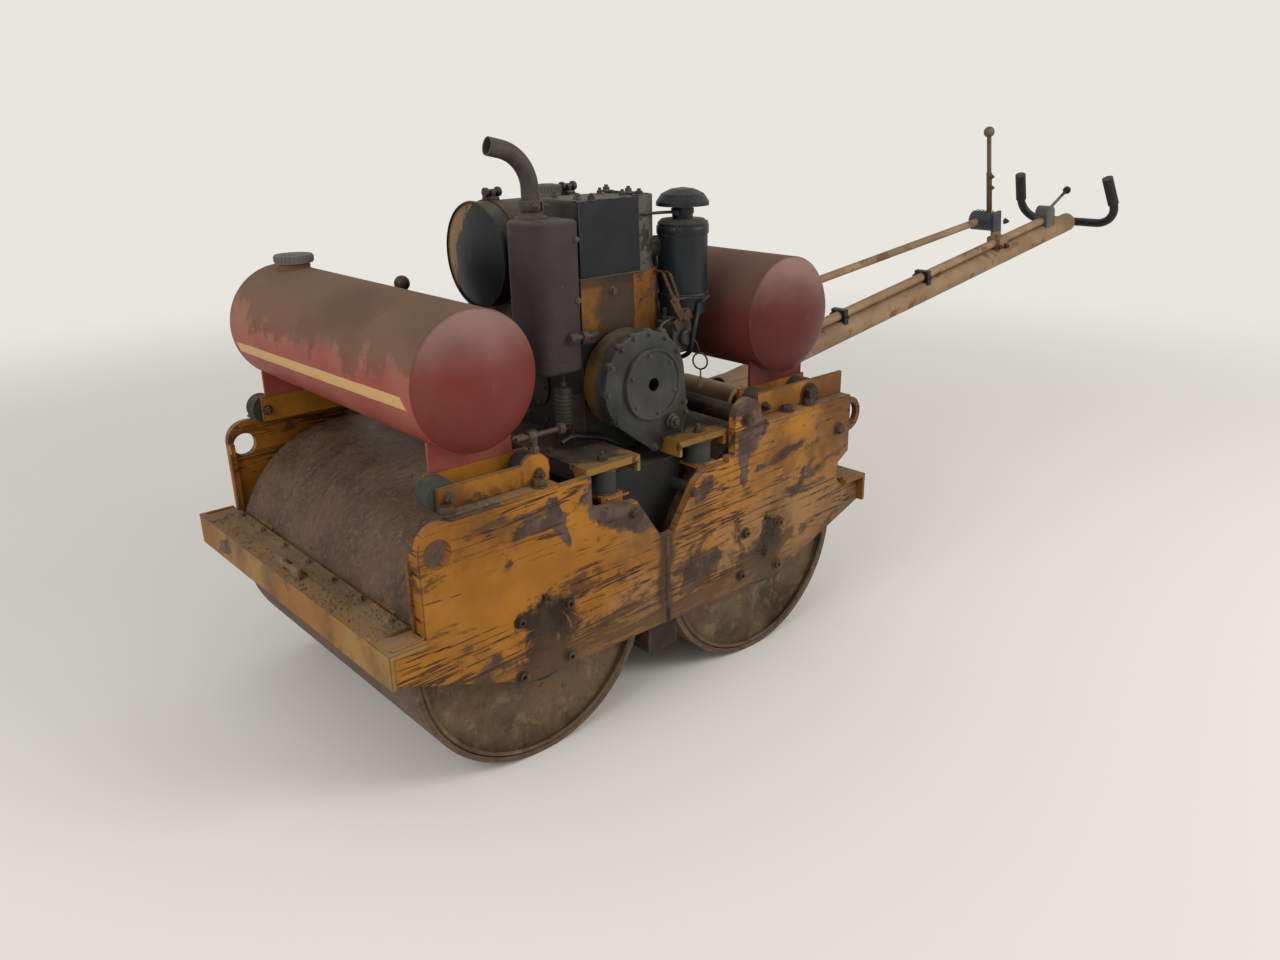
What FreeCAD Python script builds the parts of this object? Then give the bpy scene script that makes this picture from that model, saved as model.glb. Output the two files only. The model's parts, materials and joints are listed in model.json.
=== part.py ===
"""Walk-behind double-drum road roller, as a parametric assembly.

Lengths are millimetres. +X points to the front bumper, +Y to the machine's left side, +Z up.
Unless a comment says otherwise, x is counted from half way between the two drums and z from the
height of the drum axles. MACHINE carries those two places into the part's own frame, whose origin
lies on the ground below the middle of the whole length, drawbar included.
The drawbar is drawn level, with its pivot at zero, and DRAWBAR tilts it into place.
"""
import FreeCAD, Part
import Sketcher
import math
import os

SIZES = {
    # drums
    "drum_radius": 300,
    "drum_width": 856,
    "drum_wall": 12,
    "drum_spacing": 84,
    "drum_gap": 7,
    "drum_recess": 12,
    "axle_radius": 40,
    "axle_bore": 18,
    "axle_reach": 12,
    "axle_fit": 0.05,
    # side plates
    "side_gap": 24,
    "plate_wall": 20,
    "plate_foot": -82,
    "slope_start": 46,
    "plate_top": 332,
    "plate_corner": 50,
    "plate_setback": 3,
    "bay_half": 215,
    "bay_floor": 260,
    "vee_top_half": 90,
    "notch_top": 245,
    "vee_half": 20,
    "seam_top": 137,
    "seam_rise": 3,
    "eye_in": 41,
    "eye_height": 273,
    "eye_radius": 29,
    "tail_edge": 25,
    "tail_low": 187,
    "tail_throat": 15,
    "ear_inner": 217,
    "ear_radius": 46,
    "ear_height": 360,
    "ear_foot": 19,
    "block_inner": 121,
    "block_outer": 197,
    "block_top": 277,
    "block_low": 264,
    "hook_height": 286,
    "hook_radius": 46,
    "hook_bar": 15,
    "edge_deep": 15,
    "edge_wall": 10,
    # bumpers and scrapers
    "bumper_low": 35,
    "bumper_shelf": 100,
    "bumper_wall": 10,
    "bumper_depth": 84,
    "bumper_side": 16,
    "scraper_width": 40,
    "scraper_wall": 8,
    "scraper_end": 8,
    "scraper_set": 3,
    # low beam between the drums
    "beam_half": 45,
    "beam_low": -160,
    "beam_high": -110,
    "beam_wall": 8,
    "beam_lug": 12,
    "beam_lug_top": -20,
    "blade_wall": 6,
    "blade_low": -135,
    "blade_high": -100,
    # cross members
    "pivot_in": 272,
    "pivot_height": 259,
    "shaft_radius": 25,
    "cross_radius": 22,
    # bearings
    "flange_radius": 104,
    "flange_wall": 12,
    "boss_radius": 62,
    "boss_gap": 8,
    # housing between the drums
    "housing_gap": 18,
    "housing_low": 80,
    "housing_knee": 220,
    "housing_top": 285,
    "housing_shoulder": 120,
    "housing_end": 62,
    "tie_half": 95,
    "tie_height": 218,
    "tie_radius": 14,
    # engine mounting
    "mount_half": 145,
    "bracket_half": 31,
    "mount_height": 270,
    "bracket_wall": 8,
    "bracket_reach": 60,
    "bracket_leg": 62,
    "mount_radius": 29,
    "mount_tall": 55,
    "rail_inner": 60,
    "rail_outer": 210,
    "rail_wall": 15,
    "rail_lip": 22,
    "rail_end": 2,
    "foot_wide": 34,
    "foot_wall": 12,
    "foot_tall": 115,
    "foot_long": 66,
    # engine
    "sump_half": 57,
    "sump_drop": 40,
    "case_lead": 92,
    "case_tail": -150,
    "case_rear": -60,
    "case_front": 300,
    "case_tall": 225,
    "crank_rise": 105,
    "bell_radius": 106,
    "bell_wall": 12,
    "cover_shift": -14,
    "cover_rise": 29,
    "cover_radius": 114,
    "cover_depth": 78,
    "disc_radius": 82,
    "disc_shift": -16,
    "disc_rise": 25,
    "disc_wall": 8,
    "socket_radius": 15,
    "socket_depth": 40,
    "lobe_radius": 74,
    "lobe_shift": -48,
    "lobe_drop": 58,
    "lobe_gap": 3,
    "cowl_left": -166,
    "cowl_right": 90,
    "cowl_back": 85,
    "cowl_tall": 140,
    "cowl_round": 62,
    "shroud_wall": 6,
    "shroud_lip": 3,
    "head_inset": 8,
    "head_tall": 115,
    "rocker_inset": 18,
    "rocker_tall": 45,
    "fin_count": 6,
    "fan_radius": 150,
    "fan_depth": 160,
    "guard_depth": 80,
    "guard_half": 56,
    "guard_radius": 105,
    "muffler_gap": 10,
    "muffler_long": 120,
    "muffler_front": 330,
    "muffler_back": 200,
    "muffler_low": 515,
    "muffler_high": 835,
    "muffler_round": 35,
    "muffler_edge": 9,
    "port_radius": 20,
    "port_side": 222,
    "port_height": 760,
    "pipe_radius": 19,
    "pipe_wall": 2.5,
    "pipe_side": 225,
    "pipe_inset": 57,
    "pipe_rise": 127,
    "pipe_end": 93,
    "pipe_end_side": 10,
    "pipe_end_rise": 22,
    "pipe_bend": 85,
    "filter_x": -214,
    "filter_side": 300,
    "filter_radius": 58,
    "filter_low": 590,
    "filter_high": 810,
    "filter_cap": 61,
    "filter_neck": 24,
    "filter_neck_tall": 30,
    "filter_cap_tall": 40,
    "inlet_radius": 24,
    "inlet_side": 262,
    "inlet_height": 750,
    # fuel tank
    "fuel_radius": 122,
    "fuel_rear": -190,
    "fuel_front": 148,
    "fuel_side": -46,
    "fuel_gap": 43,
    "fuel_dome": 20,
    "fuel_cap_radius": 34,
    "fuel_cap_tall": 26,
    "fuel_cap_x": -88,
    "strap_wall": 4,
    "strap_half": 12,
    "strap_rear": -148,
    "strap_front": 76,
    "strap_foot": 50,
    # water tanks
    "tank_out": 107,
    "tank_radius": 140,
    "tank_rise": 29,
    "tank_inset": 47,
    "tank_dome": 60,
    "tank_wall": 4,
    "filler_side": -334,
    "filler_radius": 36,
    "filler_tall": 11,
    "cap_radius": 44,
    "cap_tall": 18,
    "saddle_half": 95,
    "saddle_wrap": 33,
    "saddle_wall": 8,
    # tank cradles
    "cradle_in": 150,
    "cradle_out": 110,
    "tail_cradle_in": 120,
    "tail_cradle_out": 203,
    "cradle_wall": 8,
    "cradle_reach": 40,
    "cradle_tall": 54,
    "cradle_lobe": 37,
    "tail_cradle_tall": 66,
    "buffer_radius": 34,
    "buffer_long": 40,
    "buffer_height": 368,
    "buffer_out": 96,
    "buffer_in": 115,
    "tail_buffer_out": 69,
    "tail_buffer_in": 96,
    "bar_low": 340,
    "bar_high": 402,
    "bar_out": 107,
    "bar_in": 134,
    # selector lever
    "selector_x": 185,
    "selector_side": -200,
    "selector_lean": 60,
    "selector_knob": 662,
    "selector_rod": 7,
    "knob_radius": 19,
    # drawbar, from its pivot
    "drawbar_tilt": 8.86,
    "sleeve_radius": 40,
    "sleeve_half": 110,
    "sleeve_fit": 0.3,
    "drawbar_radius": 36,
    "drawbar_wall": 5,
    "drawbar_long": 2079,
    "gusset_wall": 10,
    "gusset_long": 170,
    "bar_radius": 16,
    "bar_half": 205,
    "bar_lean_in": 25,
    "bar_lean": 65,
    "bar_tall": 192,
    "bar_bend": 80,
    "grip_radius": 20,
    "grip_long": 112,
    "grip_fit": 0.3,
    "conduit_radius": 15,
    "conduit_height": 53,
    "conduit_start": 300,
    "conduit_past": 48,
    "clip_half": 9,
    "clip_first": 609,
    "clip_step": 463,
    "clip_side": 27,
    "clip_wall": 6,
    "hub_x": 1554,
    "hub_height": 128,
    "hub_radius": 35,
    "hub_long": 100,
    "hub_side": 0,
    "post_half": 26,
    "post_wall": 12,
    "lever_radius": 8,
    "lever_side": 22,
    "lever_shift": 11,
    "lever_ball": 452,
    "rod_radius": 13,
    "rod_side": -70,
    "rod_front": 430,
    "rod_front_height": 171,
    "crank_half": 16,
    "crank_wall": 10,
    "throttle_x": 1902,
    "throttle_radius": 30,
    "throttle_half": 26,
    "throttle_height": 76,
    "throttle_ball": 15,
    "throttle_reach": 168,
    "throttle_rise": 54,
    "throttle_rod": 6,
}

DOC = FreeCAD.newDocument("road_roller")
SHEET = DOC.addObject("Spreadsheet::Sheet", "Sizes")
VECTOR = FreeCAD.Vector


class Length:
    """A length that is known both as a number and as the sheet expression that gives it."""

    def __init__(self, value, text):
        self.value = float(value)
        self.text = text

    @staticmethod
    def of(thing):
        if isinstance(thing, Length):
            return thing
        return Length(thing, repr(float(thing)))

    def joined(self, other, sign, value):
        return Length(value, f"({self.text} {sign} {other.text})")

    def __add__(self, other):
        other = Length.of(other)
        return self.joined(other, "+", self.value + other.value)

    def __radd__(self, other):
        return Length.of(other) + self

    def __sub__(self, other):
        other = Length.of(other)
        return self.joined(other, "-", self.value - other.value)

    def __rsub__(self, other):
        return Length.of(other) - self

    def __mul__(self, other):
        other = Length.of(other)
        return self.joined(other, "*", self.value * other.value)

    def __rmul__(self, other):
        return Length.of(other) * self

    def __truediv__(self, other):
        other = Length.of(other)
        return self.joined(other, "/", self.value / other.value)

    def __neg__(self):
        return Length.of(0) - self


def root(length):
    """Square root of a length."""
    return Length(math.sqrt(length.value), f"sqrt({length.text})")


def cosine(degrees):
    """Cosine of an angle in degrees."""
    return Length(math.cos(math.radians(degrees.value)), f"cos({degrees.text})")


class SizeTable:
    """Writes the sizes into the sheet and hands each one out by its name."""

    def __init__(self, sizes):
        for row, (name, value) in enumerate(sizes.items(), start=1):
            SHEET.set(f"A{row}", name)
            SHEET.set(f"B{row}", str(value))
            SHEET.setAlias(f"B{row}", name)
            setattr(self, name, Length(value, f"Sizes.{name}"))


s = SizeTable(SIZES)
DOC.recompute()

# Places worked out from the driving sizes
AXLE_X = s.drum_radius + s.drum_spacing / 2
DRUM_HALF = s.drum_width / 2
PLATE_IN = DRUM_HALF + s.side_gap
PLATE_OUT = PLATE_IN + s.plate_wall
CLEAR = s.drum_radius + s.drum_gap
BUMPER_IN = AXLE_X + root(CLEAR * CLEAR - s.bumper_shelf * s.bumper_shelf)
BUMPER_REACH = BUMPER_IN + s.bumper_depth
BUMPER_TOP = s.bumper_shelf + s.bumper_wall
PLATE_FRONT = BUMPER_IN - s.plate_setback
HORN_FRONT = BUMPER_REACH - s.bumper_wall
PIVOT_X = -AXLE_X - s.pivot_in
BAR_X = s.drawbar_long + s.bar_radius
HANDLE_REACH = -PIVOT_X + BAR_X * cosine(s.drawbar_tilt) + s.bar_radius
MID_X = (HANDLE_REACH - BUMPER_REACH) / 2
TANK_X = AXLE_X + s.tank_out
RAIL_LOW = s.mount_height + s.mount_tall
ENGINE_BASE = RAIL_LOW + s.rail_wall
CRANK_HEIGHT = ENGINE_BASE + s.crank_rise
CASE_TOP = ENGINE_BASE + s.case_tall
COWL_TOP = CASE_TOP + s.cowl_tall
HEAD_TOP = COWL_TOP + s.head_tall
COVER_FACE = s.case_front + s.bell_wall + s.cover_depth
FUEL_HEIGHT = CASE_TOP + s.fuel_gap + s.fuel_radius
TANK_HALF = PLATE_OUT - s.tank_inset
TANK_HEIGHT = s.bar_high + s.tank_rise + s.tank_radius
BUFFER_OUT = PLATE_OUT - s.cradle_reach
BAR_OUTER = BUFFER_OUT - s.buffer_long
BAR_INNER = BAR_OUTER - s.saddle_wall

MACHINE = (MID_X, Length.of(0), s.drum_radius)
PLAIN = (Length.of(0), Length.of(0), Length.of(0))
PLANES = {"XY": "XY_Plane", "XZ": "XZ_Plane", "YZ": "YZ_Plane"}
NODES = []


def bind(thing, name, length):
    """Give a property its number and tie it to the sheet."""
    thing.setExpression(name, Length.of(length).text)


def put(thing, place, home):
    """Tie the base point of a placement to a place in its home frame."""
    for axis, near, far in zip("xyz", place, home):
        bind(thing, f".Placement.Base.{axis}", near + far)
    thing.Placement.Base = VECTOR(*[(Length.of(near) + far).value for near, far in zip(place, home)])


def block(x, y, z, home=MACHINE):
    """A box from three pairs of limits."""
    made = DOC.addObject("Part::Box", "block")
    for name, (low, high) in zip(("Length", "Width", "Height"), (x, y, z)):
        bind(made, name, high - low)
    put(made, (x[0], y[0], z[0]), home)
    return made


def rod(axis, radius, limits, centre, home=MACHINE):
    """A cylinder along one axis; centre gives its other two places in the order x, y, z."""
    made = DOC.addObject("Part::Cylinder", "rod")
    bind(made, "Radius", radius)
    bind(made, "Height", limits[1] - limits[0])
    place = {
        "x": (limits[0], centre[0], centre[1]),
        "y": (centre[0], limits[0], centre[1]),
        "z": (centre[0], centre[1], limits[0]),
    }[axis]
    turn = {"x": ((0, 1, 0), 90), "y": ((1, 0, 0), -90), "z": ((0, 0, 1), 0)}[axis]
    made.Placement.Rotation = FreeCAD.Rotation(VECTOR(*turn[0]), turn[1])
    put(made, place, home)
    return made


def ball(radius, place, home=MACHINE):
    """A sphere."""
    made = DOC.addObject("Part::Sphere", "ball")
    bind(made, "Radius", radius)
    put(made, place, home)
    return made


def fused(*pieces):
    """Several shapes as one."""
    made = DOC.addObject("Part::MultiFuse", "fused")
    made.Shapes = list(pieces)
    made.Refine = True
    return made


def grouped(*pieces):
    """Like solids that share a node and don't touch."""
    made = DOC.addObject("Part::Compound", "grouped")
    made.Links = list(pieces)
    return made


def less(base, *tools):
    """A shape with others cut away."""
    for tool in tools:
        made = DOC.addObject("Part::Cut", "less")
        made.Base = base
        made.Tool = tool
        base = made
    return base


def across(piece):
    """The same piece on the machine's other side."""
    made = DOC.addObject("Part::Mirroring", "across")
    made.Source = piece
    made.Normal = VECTOR(0, 1, 0)
    return made


def fore_aft(piece):
    """The same piece at the machine's other end."""
    made = DOC.addObject("Part::Mirroring", "fore_aft")
    made.Source = piece
    made.Normal = VECTOR(1, 0, 0)
    made.Base = VECTOR(MID_X.value, 0, 0)
    bind(made, ".Base.x", MID_X)
    return made


def sketch_on(body, plane, outline, holes=()):
    """Draw a closed outline, each corner held by the sheet.

    Between two corners an outline may hold ("arc", radius, side): a minor arc that bulges to the
    left of the way from one corner to the next (side 1) or to its right (side -1).
    """
    made = body.newObject("Sketcher::SketchObject", "outline")
    origin = [item for item in body.Origin.OriginFeatures if item.Role == PLANES[plane]][0]
    made.AttachmentSupport = [(origin, "")]
    made.MapMode = "FlatFace"
    corners = []
    arcs = []
    for item in outline:
        if item[0] == "arc":
            arcs[-1] = item
        else:
            corners.append((Length.of(item[0]), Length.of(item[1])))
            arcs.append(None)
    count = len(corners)
    for number, (corner, arc) in enumerate(zip(corners, arcs)):
        start = VECTOR(corner[0].value, corner[1].value, 0)
        following = corners[(number + 1) % count]
        end = VECTOR(following[0].value, following[1].value, 0)
        if arc is None:
            made.addGeometry(Part.LineSegment(start, end), False)
            continue
        radius = Length.of(arc[1]).value
        middle = (start + end) / 2
        half = (end - start).Length / 2
        left = VECTOR(start.y - end.y, end.x - start.x, 0).normalize() * arc[2]
        rise = radius - math.sqrt(max(radius * radius - half * half, 0))
        made.addGeometry(Part.Arc(start, middle + left * rise, end), False)
    for number, (corner, arc) in enumerate(zip(corners, arcs)):
        turned = arc is not None and arc[2] > 0
        first, last = (2, 1) if turned else (1, 2)
        after = arcs[(number + 1) % count]
        after_first = 2 if after is not None and after[2] > 0 else 1
        made.addConstraint(
            Sketcher.Constraint("Coincident", number, last, (number + 1) % count, after_first))
        for kind, place in zip(("DistanceX", "DistanceY"), corner):
            index = made.addConstraint(
                Sketcher.Constraint(kind, -1, 1, number, first, place.value))
            made.setExpression(f"Constraints[{index}]", place.text)
        if arc is not None:
            index = made.addConstraint(
                Sketcher.Constraint("Radius", number, Length.of(arc[1]).value))
            made.setExpression(f"Constraints[{index}]", Length.of(arc[1]).text)
    for number, (across_place, up_place, radius) in enumerate(holes, start=count):
        centre = VECTOR(Length.of(across_place).value, Length.of(up_place).value, 0)
        made.addGeometry(
            Part.Circle(centre, VECTOR(0, 0, 1), Length.of(radius).value), False)
        for kind, place in (("DistanceX", across_place), ("DistanceY", up_place)):
            index = made.addConstraint(
                Sketcher.Constraint(kind, -1, 1, number, 3, Length.of(place).value))
            made.setExpression(f"Constraints[{index}]", Length.of(place).text)
        index = made.addConstraint(
            Sketcher.Constraint("Radius", number, Length.of(radius).value))
        made.setExpression(f"Constraints[{index}]", Length.of(radius).text)
    return made


def pad(plane, outline, limits, holes=(), home=MACHINE):
    """Push an outline out between two places along the axis that its plane lacks."""
    body = DOC.addObject("PartDesign::Body", "pad_body")
    made = body.newObject("PartDesign::Pad", "pad")
    made.Profile = sketch_on(body, plane, outline, holes)
    bind(made, "Length", limits[1] - limits[0])
    zero = Length.of(0)
    place = {
        "XZ": (zero, limits[1], zero),
        "YZ": (limits[0], zero, zero),
        "XY": (zero, zero, limits[0]),
    }[plane]
    put(body, [Length.of(value) for value in place], home)
    body.Tip = made
    return body


def turned(axis, outline, centre, home=MACHINE):
    """Turn an outline, drawn as place along the axis and radius, about one axis."""
    body = DOC.addObject("PartDesign::Body", "turned_body")
    made = body.newObject("PartDesign::Revolution", "turned")
    plane = "YZ" if axis == "y" else "XZ"
    if axis == "z":
        outline = [(item[1], item[0]) if item[0] != "arc" else ("arc", item[1], -item[2])
                   for item in outline]
    made.Profile = sketch_on(body, plane, outline)
    made.ReferenceAxis = (made.Profile[0], ["V_Axis" if axis == "z" else "H_Axis"])
    made.Angle = 360
    put(body, [Length.of(value) for value in centre], home)
    body.Tip = made
    return body


def bent(points, bend, radius, hollow=0, home=MACHINE):
    """A round bar or tube along straight runs that are joined by bends of one radius."""
    places = [VECTOR(*[(Length.of(value) + far).value for value, far in zip(point, home)])
              for point in points]
    bend = Length.of(bend).value
    edges = []
    start = places[0]
    for before, corner, after in zip(places, places[1:], places[2:]):
        inward = (before - corner).normalize()
        outward = (after - corner).normalize()
        half = inward.getAngle(outward) / 2
        back = bend / math.tan(half)
        middle = (inward + outward).normalize() * (bend / math.sin(half) - bend)
        arc_start = corner + inward * back
        arc_end = corner + outward * back
        edges.append(Part.LineSegment(start, arc_start).toShape())
        edges.append(Part.Arc(arc_start, corner + middle, arc_end).toShape())
        start = arc_end
    edges.append(Part.LineSegment(start, places[-1]).toShape())
    path = Part.Wire(edges)
    way = (places[1] - places[0]).normalize()

    def swept(size):
        ring = Part.Wire(Part.Circle(places[0], way, size).toShape())
        return path.makePipeShell([ring], True, True)

    shape = swept(Length.of(radius).value)
    if hollow:
        shape = shape.cut(swept((radius - hollow).value))
    made = DOC.addObject("Part::Feature", "bent")
    made.Shape = shape
    return made


def softened(piece, radius, wanted):
    """Round the edges of a shape that the test wanted(edge) picks."""
    DOC.recompute()
    made = DOC.addObject("Part::Fillet", "softened")
    made.Base = piece
    size = Length.of(radius).value
    made.Edges = [(number, size, size)
                  for number, edge in enumerate(piece.Shape.Edges, start=1) if wanted(edge)]
    return made


def runs_along(axis):
    """A test for straight edges along one axis."""
    def wanted(edge):
        if not isinstance(edge.Curve, Part.Line):
            return False
        return abs(getattr(edge.Curve.Direction, axis)) > 0.999
    return wanted


def straight(edge):
    """A test for any straight edge."""
    return isinstance(edge.Curve, Part.Line)


def node(name, piece, tilted=False):
    """Name a finished sub-part; a tilted one is part of the drawbar."""
    if tilted:
        piece.Placement = FreeCAD.Placement(
            VECTOR(), FreeCAD.Rotation(VECTOR(0, 1, 0), s.drawbar_tilt.value))
        bind(piece, ".Placement.Rotation.Angle", s.drawbar_tilt)
        put(piece, (PIVOT_X, Length.of(0), s.pivot_height), MACHINE)
    piece.Label = name
    NODES.append(piece)
    return piece


def both_sides(limits):
    """Limits from one side to the other."""
    return (-Length.of(limits), Length.of(limits))


# Side plates: a front and a rear plate on each side, welded together at mid length
def plate_foot():
    return [
        (0, s.plate_foot),
        (AXLE_X + s.slope_start, s.plate_foot),
        (HORN_FRONT, s.bumper_low),
        (HORN_FRONT, s.bumper_shelf),
        (PLATE_FRONT, s.bumper_shelf),
    ]


def plate_notch():
    return [
        (s.vee_top_half, s.notch_top),
        (s.vee_half, s.seam_top + s.seam_rise),
        (0, s.seam_top),
    ]


def tow_hook(edge):
    """Half ring of flat bar on the rear edge of a side plate."""
    inner = s.hook_radius - s.hook_bar
    return pad("XZ", [
        (edge, s.hook_height - s.hook_radius),
        ("arc", s.hook_radius, -1),
        (edge + s.hook_radius, s.hook_height),
        ("arc", s.hook_radius, -1),
        (edge, s.hook_height + s.hook_radius),
        (edge, s.hook_height + inner),
        ("arc", inner, 1),
        (edge + inner, s.hook_height),
        ("arc", inner, 1),
        (edge, s.hook_height - inner),
    ], (PLATE_IN + s.seam_rise, PLATE_OUT - s.seam_rise))


def side_plates():
    front = pad("XZ", plate_foot() + [
        (PLATE_FRONT, s.plate_top - s.plate_corner),
        ("arc", s.plate_corner, -1),
        (PLATE_FRONT - s.plate_corner, s.plate_top),
        (s.bay_half, s.plate_top),
        (s.bay_half, s.bay_floor),
    ] + plate_notch(), (PLATE_IN, PLATE_OUT),
        holes=[(PLATE_FRONT - s.eye_in, s.eye_height, s.eye_radius)])
    edge = block((PLATE_FRONT - s.edge_wall, PLATE_FRONT), (PLATE_IN - s.edge_deep, PLATE_IN),
                 (BUMPER_TOP, s.plate_top - s.plate_corner))
    front = fused(front, edge)
    tail = PLATE_FRONT + s.tail_edge
    throat = PLATE_FRONT - s.tail_throat
    rear = pad("XZ", plate_foot() + [
        (throat, s.bumper_shelf + s.tail_throat),
        (throat, s.tail_low - s.tail_edge),
        (tail, s.tail_low),
        (tail, s.plate_top),
        (s.ear_inner + 2 * s.ear_radius + s.ear_foot, s.plate_top),
        (s.ear_inner + 2 * s.ear_radius, s.ear_height),
        ("arc", s.ear_radius, -1),
        (s.ear_inner + s.ear_radius, s.ear_height + s.ear_radius),
        ("arc", s.ear_radius, -1),
        (s.ear_inner, s.ear_height),
        (s.ear_inner, s.block_top),
        (s.block_outer, s.block_top),
        (s.block_outer, s.block_low),
        (s.block_inner, s.block_low),
    ] + plate_notch(), (PLATE_IN, PLATE_OUT))
    rear_left = fore_aft(fused(rear, tow_hook(tail)))
    node("side_plate_front_left", front)
    node("side_plate_front_right", across(front))
    node("side_plate_rear_left", rear_left)
    node("side_plate_rear_right", across(rear_left))


def bumpers():
    """Angle-section bumper that rests on the horns of the side plates, with its scraper on top."""
    half = PLATE_OUT + s.bumper_side
    front = pad("XZ", [
        (BUMPER_IN, s.bumper_shelf),
        (HORN_FRONT, s.bumper_shelf),
        (HORN_FRONT, s.bumper_low),
        (BUMPER_REACH, s.bumper_low),
        (BUMPER_REACH, BUMPER_TOP),
        (BUMPER_IN, BUMPER_TOP),
    ], both_sides(half))
    low = BUMPER_IN + s.scraper_set
    scraper = block(
        (low, low + s.scraper_width), both_sides(DRUM_HALF - s.scraper_end),
        (BUMPER_TOP, BUMPER_TOP + s.scraper_wall))
    node("bumpers", grouped(front, fore_aft(front)))
    node("bumper_scrapers", grouped(scraper, fore_aft(scraper)))


def centre_beam():
    """Channel across the machine, low between the drums, hung from the side plates by lugs."""
    inner = s.beam_half - s.beam_wall
    channel = pad("XZ", [
        (-s.beam_half, s.beam_low),
        (-inner, s.beam_low),
        (-inner, s.beam_high - s.beam_wall),
        (inner, s.beam_high - s.beam_wall),
        (inner, s.beam_low),
        (s.beam_half, s.beam_low),
        (s.beam_half, s.beam_high),
        (-s.beam_half, s.beam_high),
    ], both_sides(PLATE_IN))
    lug = block(both_sides(s.beam_half), (PLATE_IN - s.beam_lug, PLATE_IN),
                (s.beam_low, s.beam_lug_top))
    node("centre_beam", fused(channel, lug, across(lug)))
    blade = block((s.beam_half, s.beam_half + s.blade_wall), both_sides(DRUM_HALF - s.scraper_end),
                  (s.blade_low, s.blade_high))
    node("centre_scrapers", grouped(blade, fore_aft(blade)))


def cross_members():
    """Shaft that the drawbar swings on and the tube that ties the two ears together."""
    shaft = rod("y", s.shaft_radius, both_sides(PLATE_IN), (PIVOT_X, s.pivot_height))
    tube = rod("y", s.cross_radius, both_sides(PLATE_IN),
               (-(s.ear_inner + s.ear_radius), s.ear_height))
    node("cross_shafts", grouped(shaft, tube))


def drum_bearings():
    """Flanged housing inside each side plate; the hollow axle stub of the drum turns in it."""
    inner = DRUM_HALF - s.drum_recess + s.boss_gap
    bore = s.axle_radius + s.axle_fit
    front = turned("y", [
        (inner, bore),
        (PLATE_IN, bore),
        (PLATE_IN, s.flange_radius),
        (PLATE_IN - s.flange_wall, s.flange_radius),
        (PLATE_IN - s.flange_wall, s.boss_radius),
        (inner, s.boss_radius),
    ], (AXLE_X, 0, 0))
    rear = fore_aft(front)
    node("drum_bearings", grouped(front, across(front), rear, across(rear)))


def drums():
    """Rolled shell with set-back end plates and hollow axle stubs."""
    recess = DRUM_HALF - s.drum_recess
    inside = recess - s.drum_wall
    tip = DRUM_HALF + s.axle_reach
    shell = s.drum_radius - s.drum_wall
    profile = [
        (-tip, s.axle_bore),
        (-tip, s.axle_radius),
        (-recess, s.axle_radius),
        (-recess, shell),
        (-DRUM_HALF, shell),
        (-DRUM_HALF, s.drum_radius),
        (DRUM_HALF, s.drum_radius),
        (DRUM_HALF, shell),
        (recess, shell),
        (recess, s.axle_radius),
        (tip, s.axle_radius),
        (tip, s.axle_bore),
        (inside, s.axle_bore),
        (inside, shell),
        (-inside, shell),
        (-inside, s.axle_bore),
    ]
    front = turned("y", profile, (AXLE_X, 0, 0))
    node("front_drum_shell", front)
    node("rear_drum_shell", fore_aft(front))


def gear_housing():
    """Wedge-shaped housing between the drums, bolted to the side plates through four bosses."""
    reach = s.drum_radius + s.housing_gap

    def edge(height):
        return AXLE_X - root(reach * reach - height * height)

    outline = [
        (-edge(s.housing_low), s.housing_low),
        (edge(s.housing_low), s.housing_low),
        (edge(s.housing_knee), s.housing_knee),
        (s.housing_shoulder, s.housing_top),
        (-s.housing_shoulder, s.housing_top),
        (-edge(s.housing_knee), s.housing_knee),
    ]
    end = PLATE_IN - s.housing_end
    case = pad("XZ", outline, both_sides(end))
    boss = rod("y", s.tie_radius, both_sides(PLATE_IN), (s.tie_half, s.tie_height))
    node("gear_housing", fused(case, boss, fore_aft(boss)))


def engine_mounting():
    low = s.mount_height - s.bracket_wall
    bracket = pad("YZ", [
        (PLATE_IN, low - s.bracket_leg),
        (PLATE_IN, s.mount_height),
        (PLATE_IN - s.bracket_reach, s.mount_height),
        (PLATE_IN - s.bracket_reach, low),
        (PLATE_IN - s.bracket_wall, low),
        (PLATE_IN - s.bracket_wall, low - s.bracket_leg),
    ], (s.mount_half - s.bracket_half, s.mount_half + s.bracket_half))
    mount = rod("z", s.mount_radius, (s.mount_height, RAIL_LOW),
                (s.mount_half, PLATE_IN - s.bracket_reach / 2))
    for name, piece in (("engine_brackets", bracket), ("engine_mounts", mount)):
        behind = fore_aft(piece)
        node(name, grouped(piece, across(piece), behind, across(behind)))
    lip = s.bracket_wall
    rail = pad("XZ", [
        (s.rail_inner, ENGINE_BASE),
        (s.rail_inner, RAIL_LOW - s.rail_lip),
        (s.rail_inner + lip, RAIL_LOW - s.rail_lip),
        (s.rail_inner + lip, RAIL_LOW),
        (s.rail_outer - lip, RAIL_LOW),
        (s.rail_outer - lip, RAIL_LOW - s.rail_lip),
        (s.rail_outer, RAIL_LOW - s.rail_lip),
        (s.rail_outer, ENGINE_BASE),
    ], both_sides(PLATE_IN - s.rail_end))
    front_foot, rear_foot = [pad("YZ", [
        (s.case_front - s.foot_long, ENGINE_BASE),
        (s.case_front, ENGINE_BASE),
        (s.case_front, ENGINE_BASE + s.foot_tall),
        (s.case_front - s.foot_wall, ENGINE_BASE + s.foot_tall),
        (s.case_front - s.foot_wall, ENGINE_BASE + s.foot_wall),
        (s.case_front - s.foot_long, ENGINE_BASE + s.foot_wall),
    ], limits) for limits in (
        (s.case_lead, s.case_lead + s.foot_wide),
        (s.case_tail - s.foot_wide, s.case_tail))]
    node("engine_rails", grouped(fused(rail, front_foot), fused(fore_aft(rail), rear_foot)))


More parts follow.
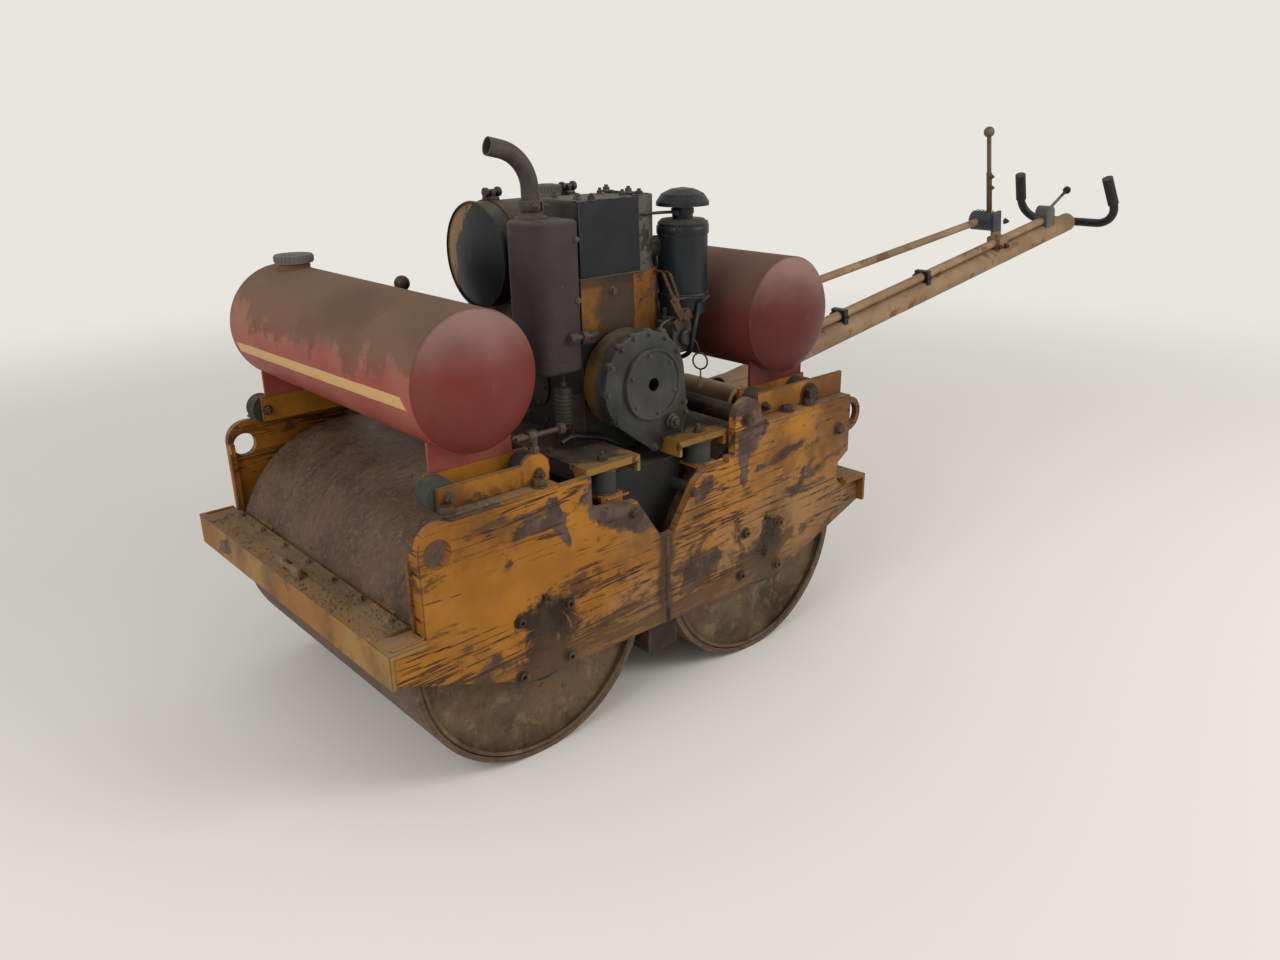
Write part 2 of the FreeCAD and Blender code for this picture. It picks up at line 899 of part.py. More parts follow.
def crankcase():
    case = pad("XZ", [
        (-s.sump_half, ENGINE_BASE - s.sump_drop),
        (s.sump_half, ENGINE_BASE - s.sump_drop),
        (s.sump_half, ENGINE_BASE),
        (s.case_lead, ENGINE_BASE),
        (s.case_lead, CASE_TOP),
        (s.case_tail, CASE_TOP),
        (s.case_tail, ENGINE_BASE),
        (-s.sump_half, ENGINE_BASE),
    ], (s.case_rear, s.case_front))
    node("crankcase", case)


def flat_footed(piece):
    """Trim a round engine piece where it meets the engine rails."""
    wide = 2 * s.fan_radius
    foot = block(both_sides(wide), both_sides(PLATE_IN), (ENGINE_BASE - s.fan_radius, ENGINE_BASE))
    return less(piece, foot)


def gear_end():
    """Bell plate and pear-shaped gear cover, with the hole for the starting crank.

    The lobe of the cover hangs down between the engine rails and rests on the rear one.
    """
    back = s.case_front + s.bell_wall
    middle = (s.cover_shift, CRANK_HEIGHT + s.cover_rise)
    node("bell_plate", rod("y", s.bell_radius, (s.case_front, back), middle))
    case = rod("y", s.cover_radius, (back, COVER_FACE), middle)
    lobe = rod("y", s.lobe_radius, (back, COVER_FACE),
               (s.cover_shift + s.lobe_shift, CRANK_HEIGHT - s.lobe_drop))
    rail = block((-s.rail_outer, s.lobe_gap - s.rail_inner), (s.case_front, PLATE_IN),
                 (ENGINE_BASE - s.lobe_radius, ENGINE_BASE))
    centre = (s.cover_shift + s.disc_shift, CRANK_HEIGHT + s.disc_rise)
    face = COVER_FACE + s.disc_wall
    disc = rod("y", s.disc_radius, (COVER_FACE, face), centre)
    socket = rod("y", s.socket_radius, (face - s.socket_depth, face), centre)
    node("gear_cover", less(fused(case, less(lobe, rail), disc), socket))


def round_cornered(inset, corner, limits, sheet=0):
    """A block over the cylinder, with one large rounded corner towards the air filter."""
    left = s.cowl_left + inset + sheet
    right = s.cowl_right - inset
    front = s.case_front - inset - sheet
    return pad("XY", [
        (right, s.cowl_back + inset),
        (right, front),
        (left + corner, front),
        ("arc", corner, -1),
        (left, front - corner),
        (left, s.cowl_back + inset),
    ], limits)


def cylinder():
    """Cowl round the cylinder, the finned head in its sheet shroud and the rocker cover on top."""
    inset = s.head_inset
    corner = s.cowl_round - inset
    node("cylinder_cowl", round_cornered(Length.of(0), s.cowl_round, (CASE_TOP, COWL_TOP)))
    core = block((s.cowl_left + s.cowl_round, s.cowl_right - 3 * inset),
                 (s.cowl_back + 3 * inset, s.case_front - s.cowl_round), (COWL_TOP, HEAD_TOP))
    pitch = s.head_tall / s.fin_count
    wall = s.shroud_wall
    fins = [round_cornered(inset, corner - wall,
                           (COWL_TOP + pitch * (number + 0.5), COWL_TOP + pitch * (number + 1)), wall)
            for number in range(int(s.fin_count.value))]
    boss = rod("x", s.port_radius + wall, (s.cowl_right - 3 * inset, s.cowl_right - inset),
               (s.port_side, s.port_height))
    left = s.cowl_left + inset
    front = s.case_front - inset
    shroud = pad("XY", [
        (s.cowl_right - inset, front),
        (left + corner, front),
        ("arc", corner, -1),
        (left, front - corner),
        (left, s.cowl_back + inset),
        (left + wall, s.cowl_back + inset),
        (left + wall, front - corner),
        ("arc", corner - wall, 1),
        (left + corner, front - wall),
        (s.cowl_right - inset, front - wall),
    ], (COWL_TOP, HEAD_TOP + s.rocker_tall + s.shroud_lip))
    skin = rod("z", s.filter_radius, (s.filter_low, s.filter_high), (s.filter_x, s.filter_side))
    inlet = less(rod("x", s.inlet_radius, (s.filter_x, left + s.cowl_round),
                     (s.inlet_side, s.inlet_height)), skin)
    node("cylinder_head", fused(core, shroud, boss, inlet, *fins))
    hood = s.rocker_inset
    half = s.cowl_round / 2
    cover = block((left + half, s.cowl_right - inset - hood),
                  (s.cowl_back + inset + hood, front - half), (HEAD_TOP, HEAD_TOP + s.rocker_tall))
    low = (MACHINE[2] + HEAD_TOP).value
    node("rocker_cover", softened(cover, inset, lambda edge: straight(edge) and
                                  edge.CenterOfMass.z > low + 1))


def fan_end():
    """Fan housing on the flywheel side and the belt guard beyond it."""
    fan = rod("y", s.fan_radius, (s.case_rear - s.fan_depth, s.case_rear), (0, CRANK_HEIGHT))
    node("fan_housing", flat_footed(fan))
    top = CRANK_HEIGHT + s.guard_radius
    near = s.case_rear - s.fan_depth
    guard = pad("XZ", [
        (-s.guard_half, s.housing_top),
        (s.guard_half, s.housing_top),
        (s.guard_half, ENGINE_BASE),
        (s.guard_radius, CRANK_HEIGHT),
        ("arc", s.guard_radius, -1),
        (0, top),
        ("arc", s.guard_radius, -1),
        (-s.guard_radius, CRANK_HEIGHT),
        (-s.guard_half, ENGINE_BASE),
    ], (near - s.guard_depth, near))
    node("belt_guard", guard)


def exhaust():
    """Flat muffler with rounded corners, its port in the head and the bent tail pipe."""
    left = s.cowl_right + s.muffler_gap
    case = softened(block(
        (left, left + s.muffler_long), (s.muffler_back, s.muffler_front),
        (s.muffler_low, s.muffler_high)), s.muffler_round, runs_along("z"))
    low = (MACHINE[2] + s.muffler_low).value
    high = (MACHINE[2] + s.muffler_high).value
    case = softened(case, s.muffler_edge, lambda edge: (
        edge.BoundBox.ZLength < 1 and min(abs(edge.BoundBox.ZMin - low), abs(edge.BoundBox.ZMax - high)) < 1))
    port = rod("x", s.port_radius, (s.cowl_right - s.head_inset, left + s.muffler_round),
               (s.port_side, s.port_height))
    node("muffler", fused(case, port))
    start = (left + s.pipe_inset, s.pipe_side)
    turn = s.muffler_high + s.pipe_rise
    node("exhaust_pipe", bent([
        (start[0], start[1], s.muffler_high),
        (start[0], start[1], turn),
        (start[0] + s.pipe_end, start[1] - s.pipe_end_side, turn + s.pipe_end_rise),
    ], s.pipe_bend, s.pipe_radius, hollow=s.pipe_wall))


def air_filter():
    edge = s.head_inset
    neck = s.filter_high + s.filter_neck_tall
    top = neck + s.filter_cap_tall
    can = turned("z", [
        (s.filter_low, 0),
        (s.filter_low, s.filter_radius - edge),
        (s.filter_low + edge, s.filter_radius),
        (s.filter_high - edge, s.filter_radius),
        (s.filter_high, s.filter_radius - edge),
        (s.filter_high, s.filter_neck),
        (neck, s.filter_neck),
        (neck, s.filter_cap),
        (neck + edge, s.filter_cap),
        (neck + s.filter_cap_tall * 0.65, s.filter_cap * 0.8),
        (neck + s.filter_cap_tall * 0.9, s.filter_cap * 0.45),
        (top, 0),
    ], (s.filter_x, s.filter_side, 0))
    node("air_filter", can)


def fuel_tank():
    dome = (s.fuel_radius * s.fuel_radius + s.fuel_dome * s.fuel_dome) / (2 * s.fuel_dome)
    shell = turned("x", [
        (s.fuel_rear, 0),
        ("arc", dome, 1),
        (s.fuel_rear + s.fuel_dome, s.fuel_radius),
        (s.fuel_front - s.fuel_dome, s.fuel_radius),
        ("arc", dome, 1),
        (s.fuel_front, 0),
    ], (0, s.fuel_side, FUEL_HEIGHT))
    crown = FUEL_HEIGHT + s.fuel_radius
    seat = crown - s.fuel_dome
    neck = rod("z", s.fuel_cap_radius - s.fuel_dome / 2, (seat, crown), (s.fuel_cap_x, s.fuel_side))
    node("fuel_tank", fused(shell, neck))
    node("fuel_cap", rod("z", s.fuel_cap_radius, (crown, crown + s.fuel_cap_tall),
                         (s.fuel_cap_x, s.fuel_side)))
    straps = []
    for place in (s.strap_rear, s.strap_front):
        width = (place - s.strap_half, place + s.strap_half)
        ring = rod("x", s.fuel_radius + s.strap_wall, width, (s.fuel_side, FUEL_HEIGHT))
        foot = block(width, (s.case_rear, s.case_rear + 2 * s.strap_foot),
                     (CASE_TOP, FUEL_HEIGHT - s.fuel_radius + s.strap_foot))
        hole = rod("x", s.fuel_radius, width, (s.fuel_side, FUEL_HEIGHT))
        straps.append(less(fused(ring, foot), hole))
    node("fuel_straps", grouped(*straps))


def water_tanks():
    """Two cross tanks with dished ends, each hollow and open at its filler neck."""
    depth = s.tank_dome
    dish = (s.tank_radius * s.tank_radius + depth * depth) / (2 * depth)
    shell = turned("y", [
        (-TANK_HALF - depth, 0),
        ("arc", dish, 1),
        (-TANK_HALF, s.tank_radius),
        (TANK_HALF, s.tank_radius),
        ("arc", dish, 1),
        (TANK_HALF + depth, 0),
    ], (TANK_X, 0, TANK_HEIGHT))
    crown = TANK_HEIGHT + s.tank_radius
    place = (TANK_X, s.filler_side)
    lip = crown + s.filler_tall
    neck = rod("z", s.filler_radius, (crown - s.filler_radius, lip), place)
    wall = s.tank_wall
    inside = rod("y", s.tank_radius - wall, both_sides(TANK_HALF), (TANK_X, TANK_HEIGHT))
    throat = rod("z", s.filler_radius - wall, (TANK_HEIGHT, lip), place)
    cap = rod("z", s.cap_radius, (lip, lip + s.cap_tall), place)
    saddle_top = s.bar_high + s.tank_rise + s.saddle_wrap
    saddle = less(
        block((TANK_X - s.saddle_half, TANK_X + s.saddle_half), (BAR_INNER, BAR_OUTER),
              (s.bar_high, saddle_top)),
        rod("y", s.tank_radius, (BAR_INNER, BAR_OUTER), (TANK_X, TANK_HEIGHT)))
    tank = less(fused(shell, neck, saddle, across(saddle)),
                inside, throat)
    node("water_tank_front", tank)
    node("water_tank_rear", fore_aft(tank))
    node("water_caps", grouped(cap, fore_aft(cap)))


def tank_cradles():
    """Angle brackets on the side plates, rubber buffers and the bars that the tanks stand on.

    The front brackets end in a round lobe behind their second buffer.
    """
    angles = []
    buffers = []
    bars = []
    for inward, outward, tall, shifts, turn in (
            (s.cradle_in, s.cradle_out, s.cradle_tall, (s.buffer_out, -s.buffer_in),
             lambda piece: piece),
            (s.tail_cradle_in, s.tail_cradle_out, s.tail_cradle_tall,
             (s.tail_buffer_out, -s.tail_buffer_in), fore_aft)):
        angle = pad("YZ", [
            (BUFFER_OUT, s.plate_top),
            (PLATE_OUT, s.plate_top),
            (PLATE_OUT, s.plate_top + s.cradle_wall),
            (BUFFER_OUT + s.cradle_wall, s.plate_top + s.cradle_wall),
            (BUFFER_OUT + s.cradle_wall, s.plate_top + tall),
            (BUFFER_OUT, s.plate_top + tall),
        ], (TANK_X - inward, TANK_X + outward))
        if turn is not fore_aft:
            lobe = rod("y", s.cradle_lobe, (BUFFER_OUT, BUFFER_OUT + s.cradle_wall),
                       (TANK_X - s.buffer_in, s.buffer_height))
            angle = fused(angle, lobe)
        angles.append(turn(angle))
        limits = (BAR_OUTER, BUFFER_OUT)
        for shift in shifts:
            buffers.append(turn(rod("y", s.buffer_radius, limits, (TANK_X + shift, s.buffer_height))))
        bars.append(turn(block((TANK_X - s.bar_in, TANK_X + s.bar_out), (BAR_INNER, BAR_OUTER),
                               (s.bar_low, s.bar_high))))
    for name, left in (("cradle_angles", angles), ("cradle_buffers", buffers),
                       ("cradle_bars", bars)):
        node(name, grouped(*left, *[across(item) for item in left]))


def selector():
    """Ball-headed lever that stands on the front engine rail."""
    knob = (s.selector_x + s.selector_lean, s.selector_side, s.selector_knob)
    stem = bent([
        (s.selector_x, s.selector_side, ENGINE_BASE),
        (s.selector_x, s.selector_side, (ENGINE_BASE + s.selector_knob) / 2),
        knob,
    ], 4 * s.knob_radius, s.selector_rod)
    node("selector_lever", fused(stem, ball(s.knob_radius, knob)))


def drawbar():
    """Towing and steering bar, drawn level behind its pivot; every piece is then tilted."""
    level = {"home": PLAIN}
    zero = Length.of(0)
    sleeve = rod("y", s.sleeve_radius, both_sides(s.sleeve_half), (zero, zero), **level)
    bore = rod("y", s.shaft_radius + s.sleeve_fit, both_sides(s.sleeve_half), (zero, zero), **level)
    gusset = pad("XZ", [
        (0, -s.sleeve_radius + s.gusset_wall),
        (0, s.sleeve_radius - s.gusset_wall),
        (-s.gusset_long, s.gusset_wall),
        (-s.gusset_long, -s.gusset_wall),
    ], (s.drawbar_radius, s.drawbar_radius + s.gusset_wall), **level)
    node("drawbar_root", less(fused(sleeve, gusset, across(gusset)), bore), tilted=True)
    run = (-s.drawbar_long, -s.sleeve_radius)
    node("drawbar_tube", less(rod("x", s.drawbar_radius, run, (zero, zero), **level),
                              rod("x", s.drawbar_radius - s.drawbar_wall, run, (zero, zero), **level)),
         tilted=True)
    tips = [(-BAR_X + s.bar_lean, side * (s.bar_half - s.bar_lean_in), s.bar_tall)
            for side in (-1, 1)]
    node("handlebar", bent([
        tips[0],
        (-BAR_X, -s.bar_half, zero),
        (-BAR_X, s.bar_half, zero),
        tips[1],
    ], s.bar_bend, s.bar_radius, home=PLAIN), tilted=True)
    grips = []
    for tip, side in zip(tips, (-1, 1)):
        whole = (s.bar_lean * s.bar_lean + s.bar_lean_in * s.bar_lean_in + s.bar_tall * s.bar_tall)
        share = s.grip_long / root(whole)
        start = (tip[0] - s.bar_lean * share, tip[1] + side * s.bar_lean_in * share,
                 tip[2] - s.bar_tall * share)
        grips.append(bent([start, tip], 1, s.grip_radius,
                          hollow=s.grip_radius - s.bar_radius - s.grip_fit, home=PLAIN))
    node("grips", grouped(*grips), tilted=True)
    conduit = (-s.throttle_x - s.conduit_past, -s.conduit_start)
    height = s.conduit_height
    node("conduit", grouped(rod("x", s.conduit_radius, conduit, (zero, height), **level)),
         tilted=True)
    clips = []
    for number in range(2):
        place = -s.clip_first - s.clip_step * number
        width = (place - s.clip_half, place + s.clip_half)
        saddle = block(width, both_sides(s.clip_side), (zero, height + s.conduit_radius + s.clip_wall),
                       **level)
        clips.append(less(saddle,
                          rod("x", s.drawbar_radius, width, (zero, zero), **level),
                          rod("x", s.conduit_radius, width, (zero, height), **level)))
    node("conduit_clips", grouped(*clips), tilted=True)


def drawbar_controls():
    """Travel lever on its hub, the rod that it works, the crank at its far end and the throttle."""
    level = {"home": PLAIN}
    zero = Length.of(0)
    hub_span = (s.hub_side - s.hub_long, s.hub_side)
    post_side = (s.hub_side - s.post_wall, s.hub_side)
    hub = rod("y", s.hub_radius, (hub_span[0], hub_span[1] - s.post_wall), (-s.hub_x, s.hub_height),
              **level)
    post_width = (-s.hub_x - s.post_half, -s.hub_x + s.post_half)
    saddle_top = s.conduit_height + s.conduit_radius + s.clip_wall
    post = fused(
        less(block(post_width, both_sides(s.clip_side), (zero, saddle_top), **level),
             rod("x", s.drawbar_radius, post_width, (zero, zero), **level),
             rod("x", s.conduit_radius, post_width, (zero, s.conduit_height), **level)),
        block(post_width, post_side, (saddle_top, s.hub_height + s.hub_radius), **level),
        hub)
    node("lever_hub", post, tilted=True)
    lever_side = -s.post_wall - s.lever_side
    top = (-s.hub_x + s.lever_shift, lever_side, s.lever_ball)
    lever = bent([(-s.hub_x, lever_side, s.hub_height), top], 1, s.lever_radius, home=PLAIN)
    hollow = rod("y", s.hub_radius, hub_span, (-s.hub_x, s.hub_height), **level)
    node("travel_lever", less(fused(lever, ball(s.knob_radius, top, **level)), hollow), tilted=True)
    front = (-s.rod_front, s.rod_side, s.rod_front_height)
    back = (-s.hub_x, s.rod_side, s.hub_height)
    shaft = less(bent([front, back], 1, s.rod_radius, home=PLAIN), hollow)
    near = s.rod_side + s.rod_radius
    crank_x = (-s.rod_front, -s.rod_front + 2 * s.crank_half)
    crank = less(
        fused(
            block(crank_x, (s.rod_side - s.rod_radius, near),
                  (zero, s.rod_front_height + s.crank_half), **level),
            block(crank_x, (near, zero), (zero, s.drawbar_radius + s.crank_wall), **level)),
        rod("x", s.drawbar_radius, crank_x, (zero, zero), **level),
        rod("x", s.conduit_radius, crank_x, (zero, s.conduit_height), **level))
    node("shift_linkage", fused(shaft, crank), tilted=True)
    width = (-s.throttle_x - s.throttle_radius, -s.throttle_x + s.throttle_radius)
    pod = rod("y", s.throttle_radius, both_sides(s.throttle_half), (-s.throttle_x, s.throttle_height),
              **level)
    tip = (-s.throttle_x - s.throttle_reach, zero, s.throttle_height + s.throttle_rise)
    arm = bent([(-s.throttle_x, zero, s.throttle_height), tip], 1, s.throttle_rod, home=PLAIN)
    foot = block(width, both_sides(s.throttle_half), (zero, s.throttle_height), **level)
    body = less(fused(pod, foot), rod("x", s.drawbar_radius, width, (zero, zero), **level),
                rod("x", s.conduit_radius, width, (zero, s.conduit_height), **level))
    node("throttle", fused(body, arm, ball(s.throttle_ball, tip, **level)), tilted=True)


side_plates()
bumpers()
centre_beam()
cross_members()
drum_bearings()
drums()
gear_housing()
engine_mounting()
crankcase()
gear_end()
cylinder()
fan_end()
exhaust()
air_filter()
fuel_tank()
water_tanks()
tank_cradles()
selector()
drawbar()
drawbar_controls()
DOC.recompute()

for thing in DOC.Objects:
    if "Invalid" in thing.State or "Error" in thing.State:
        raise RuntimeError(f"{thing.Name} ({thing.Label}) failed: {thing.State}")
for piece in NODES:
    if piece.Shape.isNull() or not piece.Shape.isValid():
        raise RuntimeError(f"{piece.Label} has no valid shape")

os.makedirs("parts", exist_ok=True)
for piece in NODES:
    piece.Shape.exportStep(f"parts/{piece.Label}.step")
    box = piece.Shape.BoundBox
    print(f"{piece.Label:24s} solids {len(piece.Shape.Solids)} "
          f"x {box.XMin:8.1f} {box.XMax:8.1f} y {box.YMin:7.1f} {box.YMax:7.1f} "
          f"z {box.ZMin:7.1f} {box.ZMax:7.1f}")
for name, length in (("front axle x", MID_X + AXLE_X), ("rear axle x", MID_X - AXLE_X),
                     ("pivot x", MID_X + PIVOT_X), ("pivot z", s.drum_radius + s.pivot_height)):
    print(name, round(length.value, 3))
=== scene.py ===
# %% [markdown]
# This lesson dresses the imported model of a walk-behind road roller. The solids give every main shape,
# so the work here is looks: paint, rust, dust and grease, and the small parts that catch the eye,
# such as bolts, welds, pipes and clamps. The real machine is old and has stood in a barn.
#
# First the imported model is loaded. Nothing that is added may reach past it.

# %% Load the imported model
import json
import math
import random

import bmesh
import bpy
from mathutils import Matrix, Vector


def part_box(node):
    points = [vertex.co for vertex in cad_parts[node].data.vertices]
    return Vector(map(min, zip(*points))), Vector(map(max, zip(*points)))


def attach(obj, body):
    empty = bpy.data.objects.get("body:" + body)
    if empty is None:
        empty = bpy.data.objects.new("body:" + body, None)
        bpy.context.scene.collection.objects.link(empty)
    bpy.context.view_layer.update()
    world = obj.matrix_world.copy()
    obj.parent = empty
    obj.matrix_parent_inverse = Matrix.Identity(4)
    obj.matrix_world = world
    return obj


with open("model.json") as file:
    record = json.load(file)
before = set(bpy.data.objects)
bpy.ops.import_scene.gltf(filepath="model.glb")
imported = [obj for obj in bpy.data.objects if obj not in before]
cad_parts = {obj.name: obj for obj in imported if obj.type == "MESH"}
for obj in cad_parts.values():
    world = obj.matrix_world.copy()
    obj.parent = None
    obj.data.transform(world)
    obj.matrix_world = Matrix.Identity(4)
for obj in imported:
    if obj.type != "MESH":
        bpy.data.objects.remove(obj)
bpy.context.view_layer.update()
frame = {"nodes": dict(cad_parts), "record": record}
nodes = frame["nodes"]
print("nodes of the packed model:", len(nodes))

# %% [markdown]
# Places are written in the machine's own way, from the middle between the two drums. MIDDLE is where that
# point lies in the model, so a bolt 342 mm behind it is easy to place. Lengths are in metres.

# %% Places on the machine
front_low, front_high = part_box("front_drum_shell")
rear_low, rear_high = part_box("rear_drum_shell")
FRONT_AXLE = (front_low.x + front_high.x) / 2
REAR_AXLE = (rear_low.x + rear_high.x) / 2
AXLE_HEIGHT = (front_low.z + front_high.z) / 2
MIDDLE = (FRONT_AXLE + REAR_AXLE) / 2
PLATE_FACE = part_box("side_plate_front_left")[1].y
TANK_FRONT = sum(corner.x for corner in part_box("water_tank_front")) / 2
TANK_REAR = sum(corner.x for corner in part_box("water_tank_rear")) / 2
print("middle between the drums:", round(MIDDLE, 4), "plate face:", round(PLATE_FACE, 4))

# %% [markdown]
# The camera stands where the photographer stood, in front of the machine's left corner and at eye height.
# A camera looks along its own -Z, so its matrix has the view's right, its up, and the way back as columns.

# %% Camera
camera_data = bpy.data.cameras.new("eye_level_view")
camera_data.sensor_width = 36
camera_data.lens = 28.54
camera = bpy.data.objects.new("eye_level_view", camera_data)
bpy.context.scene.collection.objects.link(camera)
right = Vector((-0.7481, 0.6634, -0.0173))
up = Vector((-0.2419, -0.2483, 0.9380))
back = right.cross(up)
turn = Matrix((right, up, back)).transposed()
camera.matrix_world = Matrix.Translation((2.4359, 2.029, 1.355)) @ turn.to_4x4()
bpy.context.scene.camera = camera

# %% [markdown]
# A plain studio: a pale floor, an even sky, and two large soft lamps. The stronger lamp stands where the
# barn door was, behind the machine's left side. The sky that the camera and shiny metal see is a little
# paler than the sky that lights the machine, so the background is bright and the paint keeps its colour.

# %% Studio
def tone(code):
    """A colour as written in paint tools, such as b0772d, turned into the linear values of a shader."""
    parts = [int(code[place:place + 2], 16) / 255 for place in (0, 2, 4)]
    return tuple(part / 12.92 if part <= 0.04045 else ((part + 0.055) / 1.055) ** 2.4
                 for part in parts) + (1.0,)


scene = bpy.context.scene
scene.view_settings.view_transform = "Standard"
world = bpy.data.worlds.new("studio_sky")
scene.world = world
world.use_nodes = True
sky = world.node_tree
sky.nodes.clear()
light_sky = sky.nodes.new("ShaderNodeBackground")
light_sky.inputs["Color"].default_value = (1.0, 1.0, 1.0, 1.0)
light_sky.inputs["Strength"].default_value = 0.55
seen_sky = sky.nodes.new("ShaderNodeBackground")
seen_sky.inputs["Color"].default_value = tone("e9e6e0")
seen_sky.inputs["Strength"].default_value = 1.0
path = sky.nodes.new("ShaderNodeLightPath")
seen = sky.nodes.new("ShaderNodeMath")
seen.operation = "MAXIMUM"
sky.links.new(path.outputs["Is Camera Ray"], seen.inputs[0])
sky.links.new(path.outputs["Is Glossy Ray"], seen.inputs[1])
blend = sky.nodes.new("ShaderNodeMixShader")
sky.links.new(seen.outputs[0], blend.inputs[0])
sky.links.new(light_sky.outputs[0], blend.inputs[1])
sky.links.new(seen_sky.outputs[0], blend.inputs[2])
sky_end = sky.nodes.new("ShaderNodeOutputWorld")
sky.links.new(blend.outputs[0], sky_end.inputs["Surface"])


def soft_lamp(name, place, target, size, power, shade):
    """A square lamp of that size in metres at a place, turned towards a target."""
    data = bpy.data.lights.new(name, "AREA")
    data.size = size
    data.energy = power
    data.color = shade
    lamp = bpy.data.objects.new(name, data)
    scene.collection.objects.link(lamp)
    lamp.location = place
    lamp.rotation_euler = (Vector(target) - Vector(place)).to_track_quat("-Z", "Y").to_euler()


heart = (MIDDLE, 0.0, 0.5)
soft_lamp("door_light", (-1.8, 4.4, 3.2), heart, 2.6, 130, (1.0, 0.985, 0.96))
soft_lamp("front_light", (5.4, 1.2, 3.4), heart, 3.0, 95, (0.97, 0.985, 1.0))

floor_mesh = bmesh.new()
bmesh.ops.create_grid(floor_mesh, x_segments=1, y_segments=1, size=60)
floor_data = bpy.data.meshes.new("studio_floor")
floor_mesh.to_mesh(floor_data)
floor_mesh.free()
floor = bpy.data.objects.new("studio_floor", floor_data)
scene.collection.objects.link(floor)
floor_look = bpy.data.materials.new("studio_floor")
floor_look.use_nodes = True
floor_tree = floor_look.node_tree
floor_shader = floor_tree.nodes["Principled BSDF"]
floor_shader.inputs["Base Color"].default_value = tone("ece8e1")
floor_shader.inputs["Roughness"].default_value = 0.9
floor_shader.inputs["Specular IOR Level"].default_value = 0.2
floor_place = floor_tree.nodes.new("ShaderNodeTexCoord")
floor_reach = floor_tree.nodes.new("ShaderNodeVectorMath")
floor_reach.operation = "DISTANCE"
floor_reach.inputs[1].default_value = heart
floor_tree.links.new(floor_place.outputs["Object"], floor_reach.inputs[0])
floor_fade = floor_tree.nodes.new("ShaderNodeMapRange")
floor_fade.interpolation_type = "SMOOTHERSTEP"
floor_fade.inputs["From Min"].default_value = 2.2
floor_fade.inputs["From Max"].default_value = 6.5
floor_tree.links.new(floor_reach.outputs["Value"], floor_fade.inputs["Value"])
far_floor = floor_tree.nodes.new("ShaderNodeEmission")
far_floor.inputs["Color"].default_value = tone("e9e6e0")
floor_blend = floor_tree.nodes.new("ShaderNodeMixShader")
floor_tree.links.new(floor_fade.outputs["Result"], floor_blend.inputs[0])
floor_tree.links.new(floor_shader.outputs[0], floor_blend.inputs[1])
floor_tree.links.new(far_floor.outputs[0], floor_blend.inputs[2])
floor_tree.links.new(floor_blend.outputs[0], floor_tree.nodes["Material Output"].inputs["Surface"])
floor_data.materials.append(floor_look)

# %% [markdown]
# Finishes are made with nodes. Written one by one they are long, so two small helpers keep them short.
# A Number wraps the output of a node, and sums with it add Math nodes, so a mask can be written as plain
# arithmetic. A Finish is one material: it adds any other node, and has the patterns that old paint needs.

# %% Helpers for finishes
class Number:
    """The output of a shader node. Arithmetic on it adds Math nodes."""

    def __init__(self, finish, socket):
        self.finish = finish
        self.socket = socket

    def sum(self, operation, first, second):
        return self.finish.add("ShaderNodeMath", {"operation": operation}, {0: first, 1: second})

    def __add__(self, other):
        return self.sum("ADD", self, other)

    def __radd__(self, other):
        return self.sum("ADD", other, self)

    def __sub__(self, other):
        return self.sum("SUBTRACT", self, other)

    def __rsub__(self, other):
        return self.sum("SUBTRACT", other, self)

    def __mul__(self, other):
        return self.sum("MULTIPLY", self, other)

    def __rmul__(self, other):
        return self.sum("MULTIPLY", other, self)

    def __truediv__(self, other):
        return self.sum("DIVIDE", self, other)

    def __pow__(self, other):
        return self.sum("POWER", self, other)

    def most(self, other):
        return self.sum("MAXIMUM", self, other)

    def least(self, other):
        return self.sum("MINIMUM", self, other)

    def size(self):
        return self.finish.add("ShaderNodeMath", {"operation": "ABSOLUTE"}, {0: self})

    def step(self, low, high):
        """0 below low, 1 above high, and a soft rise between them."""
        return self.finish.add("ShaderNodeMapRange", {"interpolation_type": "SMOOTHSTEP"},
                               {"Value": self, "From Min": low, "From Max": high})


